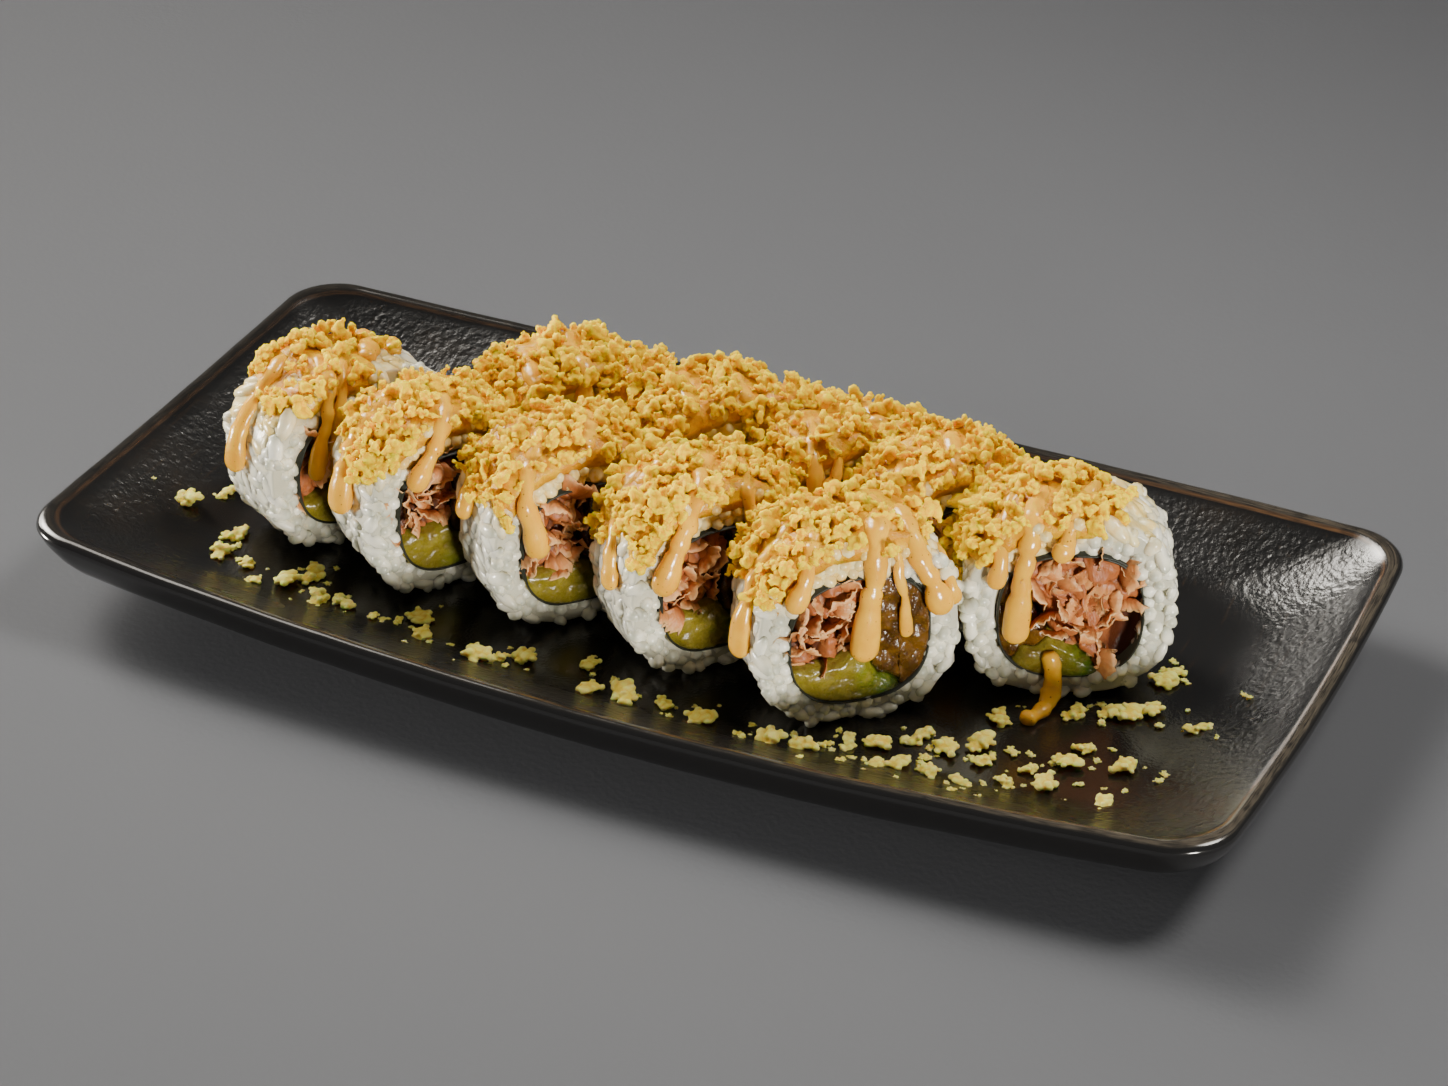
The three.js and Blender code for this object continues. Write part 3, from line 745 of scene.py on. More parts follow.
def knobbiness(points, faces):   # near 1 on top of a knob, near 0 in a crease; the crumbs' painted highlight and shade follow it
    normals = np.zeros_like(points)
    around = np.zeros_like(points)
    counts = np.zeros(len(points))
    for face in faces:
        corners = points[face]
        normals[face] += np.cross(corners[1] - corners[0], corners[2] - corners[0])
        around[face] += corners.sum(0) - corners
        counts[face] += len(face) - 1
    normals /= np.maximum(np.linalg.norm(normals, axis=1), 1e-9)[:, None]
    bulge = ((points - around / np.maximum(counts, 1)[:, None]) * normals).sum(1)
    return smoothStep(-0.06, 0.2, bulge)


def crumbKinds(seed, wanted, triangles):   # wanted is how many of each shape
    draw = random.Random(seed)
    ball = icosphere(2)
    meshes = []
    for shapeName, kinds in wanted.items():
        shape = crumb[shapeName]
        for _ in range(kinds):
            gathering = Gathering()
            for centre, size in crumbLumps(draw, shape):
                gathering.add(ball[0] * size + centre, ball[1])
            points, faces = meltedTogether(gathering, triangles)
            meshes.append((points - points.mean(0), faces, knobbiness(points, faces)))
    return meshes


def scatterTree():   # kinds stand on the host where the attribute that Where names is above zero
    tree = bpy.data.node_groups.new("scatterKinds", "GeometryNodeTree")
    inputs = [("Host", "Geometry"), ("Kinds", "Collection"), ("Spacing", "Float"), ("Smallest", "Float"),
              ("Largest", "Float"), ("Tilt", "Float"), ("Lift", "Float"), ("Spread", "Float"),
              ("Where", "String"), ("Seed", "Int"), ("Keep host", "Bool"), ("Finish", "Material")]
    for name, kind in inputs:
        tree.interface.new_socket(name, in_out="INPUT", socket_type="NodeSocket" + kind)
    tree.interface.new_socket("Result", in_out="OUTPUT", socket_type="NodeSocketGeometry")
    graph = Graph(tree)
    given = graph.node("NodeGroupInput")

    def chance(kind, low, high, seed):
        sockets = {"Min": low, "Max": high, "Seed": seed}
        return graph.node("FunctionNodeRandomValue", {"data_type": kind}, sockets)["Value"]

    def named(kind, name):
        settings = {"data_type": kind}
        return graph.node("GeometryNodeInputNamedAttribute", settings, {"Name": name})["Attribute"]

    def store(geometry, kind, name, value):
        settings = {"data_type": kind, "domain": "POINT"}
        sockets = {"Geometry": geometry, "Name": name, "Value": value}
        return graph.node("GeometryNodeStoreNamedAttribute", settings, sockets)["Geometry"]

    def vector(x, y, z):
        return graph.node("ShaderNodeCombineXYZ", None, {"X": x, "Y": y, "Z": z})["Vector"]

    points = graph.node("GeometryNodeDistributePointsOnFaces", {"distribute_method": "POISSON"}, {
        "Mesh": given["Host"], "Distance Min": given["Spacing"], "Density Max": 4e6,
        "Density Factor": named("FLOAT", given["Where"]), "Seed": given["Seed"]})
    toned = store(points["Points"], "FLOAT", "tone", chance("FLOAT", 0.0, 1.0, 3))
    clean = graph.node("GeometryNodeRemoveAttribute", None, {   # only the host carries the painted shade between grains
        "Geometry": toned, "Name": "crevice"})
    aimed = store(clean["Geometry"], "FLOAT_VECTOR", "away", points["Normal"])
    tilt = given["Tilt"]
    tilted = chance("FLOAT_VECTOR", vector(tilt * -1, tilt * -1, -math.pi), vector(tilt, tilt, math.pi), 7)
    turn = graph.node("FunctionNodeEulerToRotation", None, {"Euler": tilted})
    rotation = graph.node("FunctionNodeRotateRotation", {"rotation_space": "LOCAL"}, {
        "Rotation": points["Rotation"], "Rotate By": turn["Rotation"]})
    kinds = graph.node("GeometryNodeCollectionInfo", None, {
        "Collection": given["Kinds"], "Separate Children": True, "Reset Children": True})
    placed = graph.node("GeometryNodeInstanceOnPoints", None, {
        "Points": aimed, "Instance": kinds["Instances"], "Pick Instance": True,
        "Instance Index": chance("INT", 0, 9999, 11), "Rotation": rotation["Rotation"],
        "Scale": chance("FLOAT", given["Smallest"], given["Largest"], 13)})
    lift = graph.node("ShaderNodeVectorMath", {"operation": "SCALE"}, {
        "Vector": named("FLOAT_VECTOR", "away"),
        "Scale": chance("FLOAT", 0.0, given["Spread"], 17) + given["Lift"]})
    raised = graph.node("GeometryNodeTranslateInstances", None, {
        "Instances": placed["Instances"], "Translation": lift["Vector"], "Local Space": False})
    real = graph.node("GeometryNodeRealizeInstances", None, {"Geometry": raised["Instances"]})
    host = graph.node("GeometryNodeSwitch", {"input_type": "GEOMETRY"}, {
        "Switch": given["Keep host"], "True": given["Host"]})
    joined = graph.node("GeometryNodeJoinGeometry")
    for part in (host["Output"], real["Geometry"]):
        tree.links.new(part.socket, joined.node.inputs["Geometry"])
    smooth = graph.node("GeometryNodeSetShadeSmooth", None, {"Geometry": joined["Geometry"]})
    finished = graph.node("GeometryNodeSetMaterial", None, {
        "Geometry": smooth["Geometry"], "Material": given["Finish"]})
    graph.node("NodeGroupOutput", None, {"Result": finished["Geometry"]})
    return tree


scatterKinds = scatterTree()


def scatter(host, kinds, material, seed, where, spacing, sizes, tilt, lift, spread, keepHost=False):
    modifier = host.modifiers.new("scatter", "NODES")
    modifier.node_group = scatterKinds
    wanted = {"Kinds": kinds, "Finish": material, "Seed": seed, "Where": where, "Spacing": spacing * mm,
              "Smallest": sizes[0], "Largest": sizes[1], "Tilt": tilt, "Lift": lift * mm,
              "Spread": spread * mm, "Keep host": keepHost}
    for item in scatterKinds.interface.items_tree:
        if item.name in wanted:
            modifier[item.identifier] = wanted[item.name]
    graph = bpy.context.evaluated_depsgraph_get()
    mesh = bpy.data.meshes.new_from_object(host.evaluated_get(graph))
    host.modifiers.clear()
    host.data = mesh
    host.name = host.name.replace("Host", "")
    mesh.name = host.name
    for extra in ("away", "cover", "outside", "ends"):
        if extra in mesh.attributes:
            mesh.attributes.remove(mesh.attributes[extra])
    print(f"{host.name}: {sum(len(face.vertices) - 2 for face in mesh.polygons)} triangles")
    return host


# Rice

def riceFinish(graph):
    tone = graph.value("tone")
    stain = graph.value("stain")
    tip = graph.value("tip")
    body = graph.mix(tone, *rice["grain"])
    # painted shade towards each grain's ends, seen as a darker middle with a brighter rim on the cut grains'
    # round ends
    body = graph.mix(tip.step(0.02, 0.7) * 0.62, body, rice["heart"])
    # painted shade on the core between the grains of the cut faces
    body = graph.mix(graph.value("crevice") * 0.7, body, rice["crease"])
    amber = graph.mix(graph.clouds(2.4, 2).step(0.4, 0.6), *rice["stained"])
    body = graph.mix(stain.step(0.4, 1.0) * 0.75, body, amber)
    sheen = graph.clouds(1.1, 2)
    return {"Base Color": body, "Roughness": 0.16 + sheen * 0.16, "Normal": graph.bump(sheen, 0.08),
            **glow(0.45, (1.0, 0.97, 0.85), 0.0009), "Specular IOR Level": 0.45}


riceMaterial = newMaterial("riceGrain", riceFinish)
frontNames = [name for name in rolls if name.startswith("front")]
backNames = [name for name in rolls if name.startswith("back")]
longGrains = kindsOf("longGrain", riceGrains(rice["long"], False, 5, 5))
roundGrains = kindsOf("roundGrain", riceGrains(rice["round"], True, 5, 6))
riceRows = []
for row, names, seed in (("Front", frontNames, 3), ("Back", backNames, 14)):
    core = riceGathering(names)
    for place, kinds in (("Sides", longGrains), ("Faces", roundGrains)):
        host = core.build(f"rice{place}{row}RowHost")
        riceRows.append(scatter(host, kinds, riceMaterial, seed, **rice[place]))
        seed += 1
dropKinds(longGrains)
dropKinds(roundGrains)
print("rice is pressed")


# Seaweed: one sheet round the fillings, its ends lapping at the upper right

seaweed = {
    "gap": 0.1, "thickness": 0.4, "recess": 0.4, "wave": 0.45, "waveSize": 2.1, "sides": 90,
    "lapStart": 38, "lap": 34, "lapRise": 0.6, "lapShare": 0.14,   # the lap in degrees, then how it rises
    "sheet": ((0.008, 0.010, 0.007), (0.022, 0.026, 0.014)),
}


def makeSeaweed():
    gathering = Gathering()
    for roll in rolls.values():
        half = roll["thickness"] / 2 - seaweed["recess"]
        sweepAngle = 2 * math.pi + math.radians(seaweed["lap"])
        shares = np.linspace(0, 1, seaweed["sides"])
        angles = math.radians(seaweed["lapStart"]) + sweepAngle * shares
        rise = seaweed["lapRise"] * (1 - smoothStep(0, seaweed["lapShare"], shares))
        loops = []
        for angle, lifted in zip(angles, rise):
            ring = []
            for side, extra in ((-1, 0), (1, 0), (1, seaweed["thickness"]), (-1, seaweed["thickness"])):
                inset = seaweed["gap"] + extra + seaweed["lapRise"] - lifted
                point = openingLoop(roll, 0, inset, np.array([angle]))[0]
                wave = ripple((4 * angle, side, 0), seaweed["waveSize"], roll["seed"])
                edge = half - seaweed["wave"] * wave
                ring.append((point[0], side * edge, point[2]))
            loops.append(ring)
        points, faces = skinLoops(loops)
        gathering.add(toPlate(roll, points), faces)

    def finish(graph):
        wrinkle = graph.clouds(0.8, 4)
        body = graph.mix(wrinkle, *seaweed["sheet"])
        return {"Base Color": body, "Roughness": 0.32 + wrinkle * 0.3, "Normal": graph.bump(wrinkle, 0.15)}

    return gathering.build("seaweedSleeves", newMaterial("seaweed", finish))


seaweedSleeves = makeSeaweed()
print("seaweed is wrapped")


# Fillings: three wedges of the opening between angles round a hub

layouts = {
    "fishLeft": {"hub": (0, -3), "fish": (80, 190), "avocado": (190, 310), "gourd": (310, 440)},
    "fishRight": {"hub": (-6, -4.5), "fish": (-5, 115), "gourd": (115, 215), "avocado": (215, 355)},
    "fishHanging": {"hub": (-4, -5.5), "fish": (-38, 122), "gourd": (122, 215), "avocado": (215, 322)},
}
fillings = {"inset": 0.55, "gap": 0.1, "around": 66, "rings": 12, "rounding": 2, "wander": 1.9}


def clipLeft(outline, hub, angle, gap):
    normal = (-math.sin(angle), math.cos(angle))
    kept = []
    for index, point in enumerate(outline):
        after = outline[(index + 1) % len(outline)]
        here = (point[0] - hub[0]) * normal[0] + (point[1] - hub[1]) * normal[1] - gap
        there = (after[0] - hub[0]) * normal[0] + (after[1] - hub[1]) * normal[1] - gap
        if here >= 0:
            kept.append(point)
        if here * there < 0:
            share = here / (here - there)
            kept.append((blend(point[0], after[0], share), blend(point[1], after[1], share)))
    return kept


def resample(outline, count):   # even steps along a closed line, its corners softened
    closed = np.vstack([outline, outline[:1]])
    along = np.concatenate([[0], np.cumsum(np.linalg.norm(np.diff(closed, axis=0), axis=1))])
    places = np.linspace(0, along[-1], count, endpoint=False)
    even = np.column_stack([np.interp(places, along, closed[:, axis]) for axis in (0, 1)])
    for _ in range(fillings["rounding"]):
        even = 0.25 * np.roll(even, 1, 0) + 0.5 * even + 0.25 * np.roll(even, -1, 0)
    return even


def wedgeOutline(roll, filling):
    layout = layouts[roll["layout"]]
    hub = (layout["hub"][0], openingOf(roll)[2] + layout["hub"][1])
    start, end = [math.radians(angle) for angle in layout[filling]]
    angles = np.linspace(0, 2 * math.pi, 90, endpoint=False)
    outline = [(x, z) for x, _, z in openingLoop(roll, 0, fillings["inset"], angles)]
    outline = clipLeft(outline, hub, start, fillings["gap"])
    outline = np.array(clipLeft(outline, hub, end + math.pi, fillings["gap"]))
    outline = resample(outline, fillings["around"])
    halfWidth, halfHeight, middle = openingOf(roll)
    for point in outline:   # the borders between the fillings wander, the outer edge stays
        x, z = point
        rim = (abs(x) / halfWidth) ** squareness + (abs(z - middle) / halfHeight) ** squareness
        loose = fillings["wander"] * float(smoothStep(0.95, 0.45, rim))
        point += [loose * ripple((x, z, 0), 5.5, roll["seed"] + other) for other in (2, 6)]
    return outline


def fillWedge(outline, roll, relief, recess):   # relief(x, z, share, side) stands out of a face
    centre = outline.mean(0)
    half = roll["thickness"] / 2 - recess
    rings = fillings["rings"]
    near, far = (np.linspace(0.04, 1, count) ** 0.8 for count in (rings, rings // 2))
    rows = [(-1, share) for share in near] + [(0, 1)] + [(1, share) for share in far[::-1]]
    loops = []
    heights = []
    inner = []
    for side, share in rows:
        ring = []
        for x, z in centre + (outline - centre) * share:
            height = relief(x, z, share, side) if side else 0.0
            heights.append(height)
            inner.append(1 - share if side else 0)
            ring.append((x, side * (half + height), z))
        loops.append(ring)
    points, faces = skinLoops(loops)
    return points, faces, heights + [heights[0], heights[-1]], np.array(inner + [1, 1])


fish = {
    "lobes": 14, "lobeEdge": 2.0, "pitch": 2.1, "leaf": 1.5, "dome": 1.0, "sunk": 1.1, "bend": 7,
    "recess": 2.9, "proud": 0.5, "hangingProud": 1.6, "gapDepth": 3.5,
    "flakes": 9, "flakeRows": 5, "flakeColumns": 15, "flakeLength": (4.5, 7), "flakeWidth": (7, 12),
    "flakeLean": (20, 58), "flakeCurl": (-0.5, 0.9),
    "scatter": dict(where="cover", spacing=3.5, sizes=(0.6, 1.0), tilt=0.5, lift=0, spread=0.7,
                    keepHost=True),
    # painted shade first: the deep colours darken the low parts of the relief and the flakes' roots
    "deep": ((0.07, 0.017, 0.005), (0.36, 0.11, 0.03)), "flesh": ((0.56, 0.21, 0.06), (0.66, 0.29, 0.10)),
    # partly the flakes' own paler free edges, partly painted highlight on them
    "pale": (0.84, 0.48, 0.23),
}


class Flaking:   # cooked fish: lobes of curved leaves that overlap like shingles, with frilled edges
    def __init__(self, roll, outline, side):
        draw = random.Random(int(roll["seed"] * 10) + side)
        reach = list(zip(outline.min(0), outline.max(0)))
        lobes = range(fish["lobes"])
        self.seed = roll["seed"] + side
        self.centres = np.array([[draw.uniform(*ends) for ends in reach] for _ in lobes])
        turns = [draw.uniform(0, 2 * math.pi) for _ in lobes]
        self.rises = [draw.uniform(-0.5, 0.9) for _ in lobes]
        ways = np.array([(math.cos(turn), math.sin(turn)) for turn in turns])
        self.pivots = self.centres + fish["bend"] * ways   # the leaves of a lobe curve round one of these

    def noise(self, x, z, layer, size):
        return ripple((x, z, layer), size, self.seed)

    def height(self, x, z):
        here = np.array([x + 0.9 * self.noise(x, z, 1, 3.4), z + 0.9 * self.noise(x, z, 5, 3.4)])
        gaps = np.linalg.norm(self.centres - here, axis=1)
        index, after = np.argsort(gaps)[:2]
        lobe = float(smoothStep(0, fish["lobeEdge"], gaps[after] - gaps[index]))
        frill = 0.55 * self.noise(x, z, 9, 1.3) + 0.5 * self.noise(x, z, 3, 3.2)
        phase = (np.linalg.norm(here - self.pivots[index]) + frill) / fish["pitch"]
        leaf = (phase - math.floor(phase)) ** 0.7
        return lobe * (fish["dome"] + self.rises[index] + fish["leaf"] * leaf) - fish["sunk"]


def makeFish():
    gathering = Gathering()
    for name, roll in rolls.items():
        outline = wedgeOutline(roll, "fish")
        hanging = name == "back_5"
        proud = fish["hangingProud"] if hanging else fish["proud"]
        faces = {side: Flaking(roll, outline, side) for side in (-1, 1)}

        def hollow(x, z):   # the gap at the right of the last roll's fish: sunk in, and its low relief paints it with the darkest shade
            return float(smoothStep(8.5, 11.5, x) * smoothStep(27, 21, z)) if hanging else 0.0

        def relief(x, z, share, side):
            edge = float(smoothStep(1.0, 0.86, share))
            rise = faces[side].height(x, z) + proud * (1 - share ** 2) - fish["gapDepth"] * hollow(x, z)
            return edge * rise - 0.8 * (1 - edge)

        points, joints, heights, inner = fillWedge(outline, roll, relief, fish["recess"])
        cover = [share > 0.07 and hollow(x, z) < 0.25 for share, (x, _, z) in zip(inner, points)]
        gathering.add(toPlate(roll, points), joints, ridge=heights, cover=np.array(cover, float))
    return gathering


def fishFlakes():   # torn ruffled leaves that rise from the face, their free edges frilled
    draw = random.Random(21)
    across, up = fish["flakeColumns"], fish["flakeRows"]
    meshes = []
    for _ in range(fish["flakes"]):
        long = draw.uniform(*fish["flakeLength"])
        wide = draw.uniform(*fish["flakeWidth"])
        lean = math.radians(draw.uniform(*fish["flakeLean"]))
        curl = draw.uniform(*fish["flakeCurl"])
        seed = draw.uniform(0, 90)
        rows = []
        for v in np.linspace(0, 1, up):
            row = []
            for u in np.linspace(-1, 1, across):
                frill = (0.25 + v) * v * (1.5 * ripple((u * wide / 2, v * 1.5, seed), 1.7, seed, 2))
                reach = long * v * (1 - 0.3 * u * u + 0.16 * ripple((u * wide, 0, seed), 1.6, seed + 3))
                bent = lean + curl * v
                y = reach * math.sin(bent) + frill * math.cos(bent) + 0.5 * u * u
                z = reach * math.cos(bent) - frill * math.sin(bent) - 0.9
                row.append((wide / 2 * u * (0.45 + 0.55 * v), y, z))
            rows.append(row)
        rows = np.array(rows)
        back = rows[::-1] + np.array([0, 0.14, -0.38])
        loops = [np.vstack([rows[:, column], back[:, column]]) for column in range(across)]
        points, faces = skinLoops(loops)
        edge = np.tile(np.concatenate([np.linspace(0, 1, up), np.linspace(1, 0, up)]), across)
        meshes.append((points, faces, np.append(edge, [0.6, 0.6])))
    return meshes


def fishFinish(graph):
    tone = graph.value("tone")
    edge = graph.value("tip")
    fibres = graph.clouds(0.7, 3, graph.stretched((1, 1, 0.4), (0.4, 0.2, 0)))
    # painted shade: the lower the relief, the darker, darkest in the sunk gap
    deep = graph.mix(graph.value("ridge").step(-0.8, 0.9), *fish["deep"])
    body = graph.mix(graph.clouds(5, 2).step(0.35, 0.7), *fish["flesh"])
    # the face between the flakes and the flakes' roots keep the painted shade
    body = graph.mix(edge.step(0.1, 0.6), deep, body)
    # paler free edges of the flakes, partly their own colour and partly painted highlight
    pale = edge.step(0.6, 1) * (0.4 + tone * 0.4) + edge * fibres.step(0.45, 0.75) * 0.2
    body = graph.mix(pale, body, fish["pale"])
    return {"Base Color": body, "Roughness": 0.34 + fibres * 0.2, "Normal": graph.bump(fibres, 0.2),
            **glow(0.3, (1.0, 0.5, 0.35), 0.0014), "Specular IOR Level": 0.35}


fishMaterial = newMaterial("fish", fishFinish)
fishHost = makeFish().build("fishFlakesHost")
flakes = kindsOf("flake", fishFlakes())
fishPiece = scatter(fishHost, flakes, fishMaterial, 8, **fish["scatter"])
dropKinds(flakes)
print("fish is flaked")


avocado = {
    "recess": 0.8, "proud": 0.6, "greenWidth": 12,
    "flesh": [(0.0, (0.19, 0.15, 0.014)), (0.35, (0.16, 0.17, 0.012)), (0.8, (0.06, 0.13, 0.006)),
              (1.0, (0.05, 0.06, 0.008))],   # from the stone's side to the skin's
    "butter": (0.34, 0.28, 0.045), "bruise": (0.12, 0.065, 0.008),
}


def makeAvocado():
    gathering = Gathering()
    for roll in rolls.values():
        outline = wedgeOutline(roll, "avocado")

        def relief(x, z, share, side):
            edge = float(smoothStep(1.0, 0.78, share))
            here = (x, z, side)
            lumps = 0.6 * ripple(here, 5, roll["seed"]) + 0.22 * ripple(here, 1.5, roll["seed"])
            return edge * (avocado["proud"] + lumps) - 0.35 * (1 - edge)

        points, faces, _, _ = fillWedge(outline, roll, relief, avocado["recess"])
        far = points[:, 0].max()
        near = far - avocado["greenWidth"]
        along = [point[0] + 2.5 * ripple(point, 5, roll["seed"]) for point in points]
        gathering.add(toPlate(roll, points), faces, greenEnd=smoothStep(near, far, np.array(along)))

    def finish(graph):
        body = graph.ramp(graph.value("greenEnd"), avocado["flesh"])
        body = graph.mix(graph.clouds(3.2, 3).step(0.48, 0.72) * 0.5, body, avocado["butter"])
        body = graph.mix(graph.clouds(4.5, 3).step(0.58, 0.75) * 0.6, body, avocado["bruise"])
        wet = graph.clouds(1.8, 3)
        return {"Base Color": body, "Roughness": 0.18 + wet * 0.2, "Normal": graph.bump(wet, 0.45),
                **glow(0.25, (0.8, 1.0, 0.3), 0.002), "Coat Weight": 0.2, "Coat Roughness": 0.12}

    return gathering.build("avocadoWedges", newMaterial("avocado", finish))


gourd = {
    "recess": 0.9, "fold": 5.2, "foldHeight": 1.15, "leans": (0.3, 1.1),
    "flesh": ((0.050, 0.019, 0.002), (0.130, 0.056, 0.006)), "shade": (0.03, 0.011, 0.002),
    "speck": (0.36, 0.20, 0.04),
}


def makeGourd():
    gathering = Gathering()
    for roll in rolls.values():
        outline = wedgeOutline(roll, "gourd")
        lean = random.Random(int(roll["seed"])).uniform(*gourd["leans"])

        def relief(x, z, share, side):
            edge = float(smoothStep(1.0, 0.86, share))
            along = x * math.sin(lean) + z * math.cos(lean)
            warp = 2.2 * ripple((x, z, side), 7, roll["seed"])
            fold = gourd["foldHeight"] * abs(math.sin((along + warp) * math.pi / gourd["fold"])) ** 0.6
            return edge * (fold - 0.2 + 0.3 * ripple((x, z, side), 1.6, roll["seed"])) - 0.3 * (1 - edge)

        points, faces, heights, _ = fillWedge(outline, roll, relief, gourd["recess"])
        gathering.add(toPlate(roll, points), faces, ridge=heights)

    def finish(graph):
        ridge = graph.value("ridge")
        body = graph.mix(graph.clouds(4, 3).step(0.4, 0.68), *gourd["flesh"])
        body = graph.mix(ridge.step(0.3, -0.3) * 0.8, body, gourd["shade"])
        specks = graph.cells(1.3).step(0.16, 0.06)
        body = graph.mix(specks * 0.4, body, gourd["speck"])
        wet = graph.clouds(1.6, 3)
        return {"Base Color": body, "Roughness": 0.15 + wet * 0.2, "Normal": graph.bump(wet, 0.5),
                **glow(0.3, (1.0, 0.45, 0.12), 0.003), "Coat Weight": 0.3, "Coat Roughness": 0.12}

    return gathering.build("gourdStrips", newMaterial("gourd", finish))


avocadoPiece = makeAvocado()
gourdPiece = makeGourd()
print("fillings are in")


# Drizzle: strands lie over the crumbs, then run down the cut face or the left side
# top stations are (x, y), face stations (x, z) and side stations (z, y), in the roll's own frame

strands = {
    "front_1": [
        dict(radius=2.2, top=[(-9, 7), (-13.5, 4)], side=[(38, 3.5), (30, 3), (22.8, 2.7)]),
        dict(radius=1.8, top=[(-3, 2), (-6, -5), (-6.8, -9)], face=[(-9, 36), (-12, 29), (-13.3, 22.7)]),
        dict(radius=1.4, top=[(2, 2), (-2, -7)], face=[(-5.5, 38), (-8, 30), (-9.4, 21.3)]),
        dict(radius=2.0, top=[(12, 8), (10, 1), (5, -6)]),
        dict(radius=1.8, top=[(17, 4), (14, -5)]),
    ],
    "front_2": [
        dict(radius=2.6, top=[(-1, 9), (-7, 5), (-11.5, 3)], side=[(37, 2.2), (30, 1.2), (23.6, 0.6)]),
        dict(radius=1.95, top=[(8, 7), (5, 0), (1, -8)], face=[(-2.5, 39), (-6, 35), (-8.5, 31.3)]),
        dict(radius=1.6, top=[(13, 5), (11, -6)]),
    ],
    "front_3": [
        dict(radius=1.9, top=[(-8, 10), (-13, 8)], side=[(37, 6), (31.5, 4), (28, 3)]),
        dict(radius=2.2, top=[(1, 6), (-4, 1), (-9, -6)], face=[(-13.5, 36.5), (-12.8, 30), (-11.7, 23.9)]),
        dict(radius=1.9, top=[(9, 6), (6, -2), (2, -9)]),
    ],
    "front_4": [
        dict(radius=1.8, top=[(-9, 8), (-14, 6)], side=[(37, 3), (29, -0.5), (24, -2)]),
        dict(radius=1.7, top=[(-4, 8), (-9, 5.5), (-12, 3)]),
        dict(radius=2.35, top=[(5, 7), (1.5, 0), (-4, -8)], face=[(-9, 38), (-12.5, 32), (-14.5, 27.2)]),
        dict(radius=1.8, top=[(12, 6), (9, -3), (7, -9)], face=[(7.5, 38), (8, 34)]),
    ],
    "front_5": [
        dict(radius=2.4, top=[(-8, 6), (-14, 0)], side=[(38, -2), (30, -3), (19.5, -3)]),
        dict(radius=1.9, top=[(-3, 4), (-9, -6), (-11, -9.5)], face=[(-13, 38), (-15, 34)]),
        dict(radius=2.45, top=[(8, 8), (6.5, 0), (4, -8.5)], face=[(2.4, 37), (1.1, 29), (0.2, 20.1)]),
        dict(radius=1.15, top=[(10, 3), (8, -7)], face=[(8.2, 37), (9.4, 29), (9.9, 22.2)]),
        dict(radius=2.3, top=[(13, 5), (12, -7)], face=[(13.4, 38), (15.8, 33), (17.2, 28.7)]),
        dict(radius=1.4, top=[(19, -4)], face=[(19.5, 33), (20.5, 29)]),
    ],
    "back_1": [
        dict(radius=2.0, top=[(-6, 6), (-9, -2), (-10, -9)]),
        dict(radius=2.2, top=[(5, 8), (2, 0), (1, -9)], face=[(0, 33), (-1, 29)]),
    ],
    "back_2": [
        dict(radius=1.9, top=[(-4, 8), (-7, 0), (-8, -9)]),
        dict(radius=1.8, top=[(8, 7), (6, -2), (5, -9)]),
    ],
    "back_3": [
        dict(radius=1.8, top=[(-5, 4), (-9, -5)], face=[(-10.8, 34), (-12.3, 26.5)]),
        dict(radius=1.6, top=[(1, 4), (-3, -5)], face=[(-5.4, 34), (-7.8, 30.2)]),
        dict(radius=2.0, top=[(10, 7), (8, -4)]),
    ],
    "back_4": [
        dict(radius=1.9, top=[(-7, 6), (-11, -2), (-12, -8)]),
        dict(radius=2.0, top=[(5, 8), (2, 0), (0, -8)]),
    ],
    "back_5": [
        dict(radius=2.25, top=[(-5, 3), (-8, -5), (-9, -9.5)], face=[(-10, 37), (-11.2, 28), (-11.9, 18.4)]),
        dict(radius=1.6, top=[(-9, 6), (-13, 0), (-14.5, -8)], face=[(-15.5, 36), (-16.5, 31)]),
        dict(radius=1.9, top=[(6, 5), (2, -4), (0, -9)], face=[(-1.5, 40), (-2.5, 38.5)]),
    ],
}
drizzle = {
    "around": 12, "steps": 7, "flatten": 0.78, "sway": 0.6,
    "neck": 0.84, "bulb": 1.36, "tip": (20, 40, 60, 78),   # of a strand that hangs, the tip in degrees
    "topLift": 1.0, "sideLifts": (0.5, 0.6, 0.9), "faceLifts": (0.1, 0.5, 0.65),   # the last two in radii
    "sauce": ((0.78, 0.39, 0.024), (0.87, 0.48, 0.036)), "speck": (0.16, 0.05, 0.01),
}


def topPoint(roll, x, y, lift):
    half = roll["width"] / 2
    rise = (1 - min(abs(x) / half, 1) ** squareness) ** (1 / squareness)
    z = roll["height"] / 2 * (1 + rise) - edgeInset(roll, min(abs(y), roll["thickness"] / 2)) * 0.6
    return (x, y, z + lift)


def sidePoint(roll, z, y, lift):
    up = abs(2 * z / roll["height"] - 1)
    return (-(roll["width"] / 2) * (1 - up ** squareness) ** (1 / squareness) - lift, y, z)


def strandStations(roll, strand):   # and which way is outward at each
    radius = strand["radius"]
    face = -roll["thickness"] / 2
    stations = [topPoint(roll, x, y, drizzle["topLift"]) for x, y in strand["top"]]
    ways = [(0, 0, 1)] * len(stations)
    for (z, y), lift in zip(strand.get("side", []), drizzle["sideLifts"]):
        stations.append(sidePoint(roll, z, y, lift * radius))
        ways.append((-1, 0, 0))
    for (x, z), lift in zip(strand.get("face", []), drizzle["faceLifts"]):
        stations.append((x, face - lift * radius, z))
        ways.append((0, -1, 0))
    return stations, ways


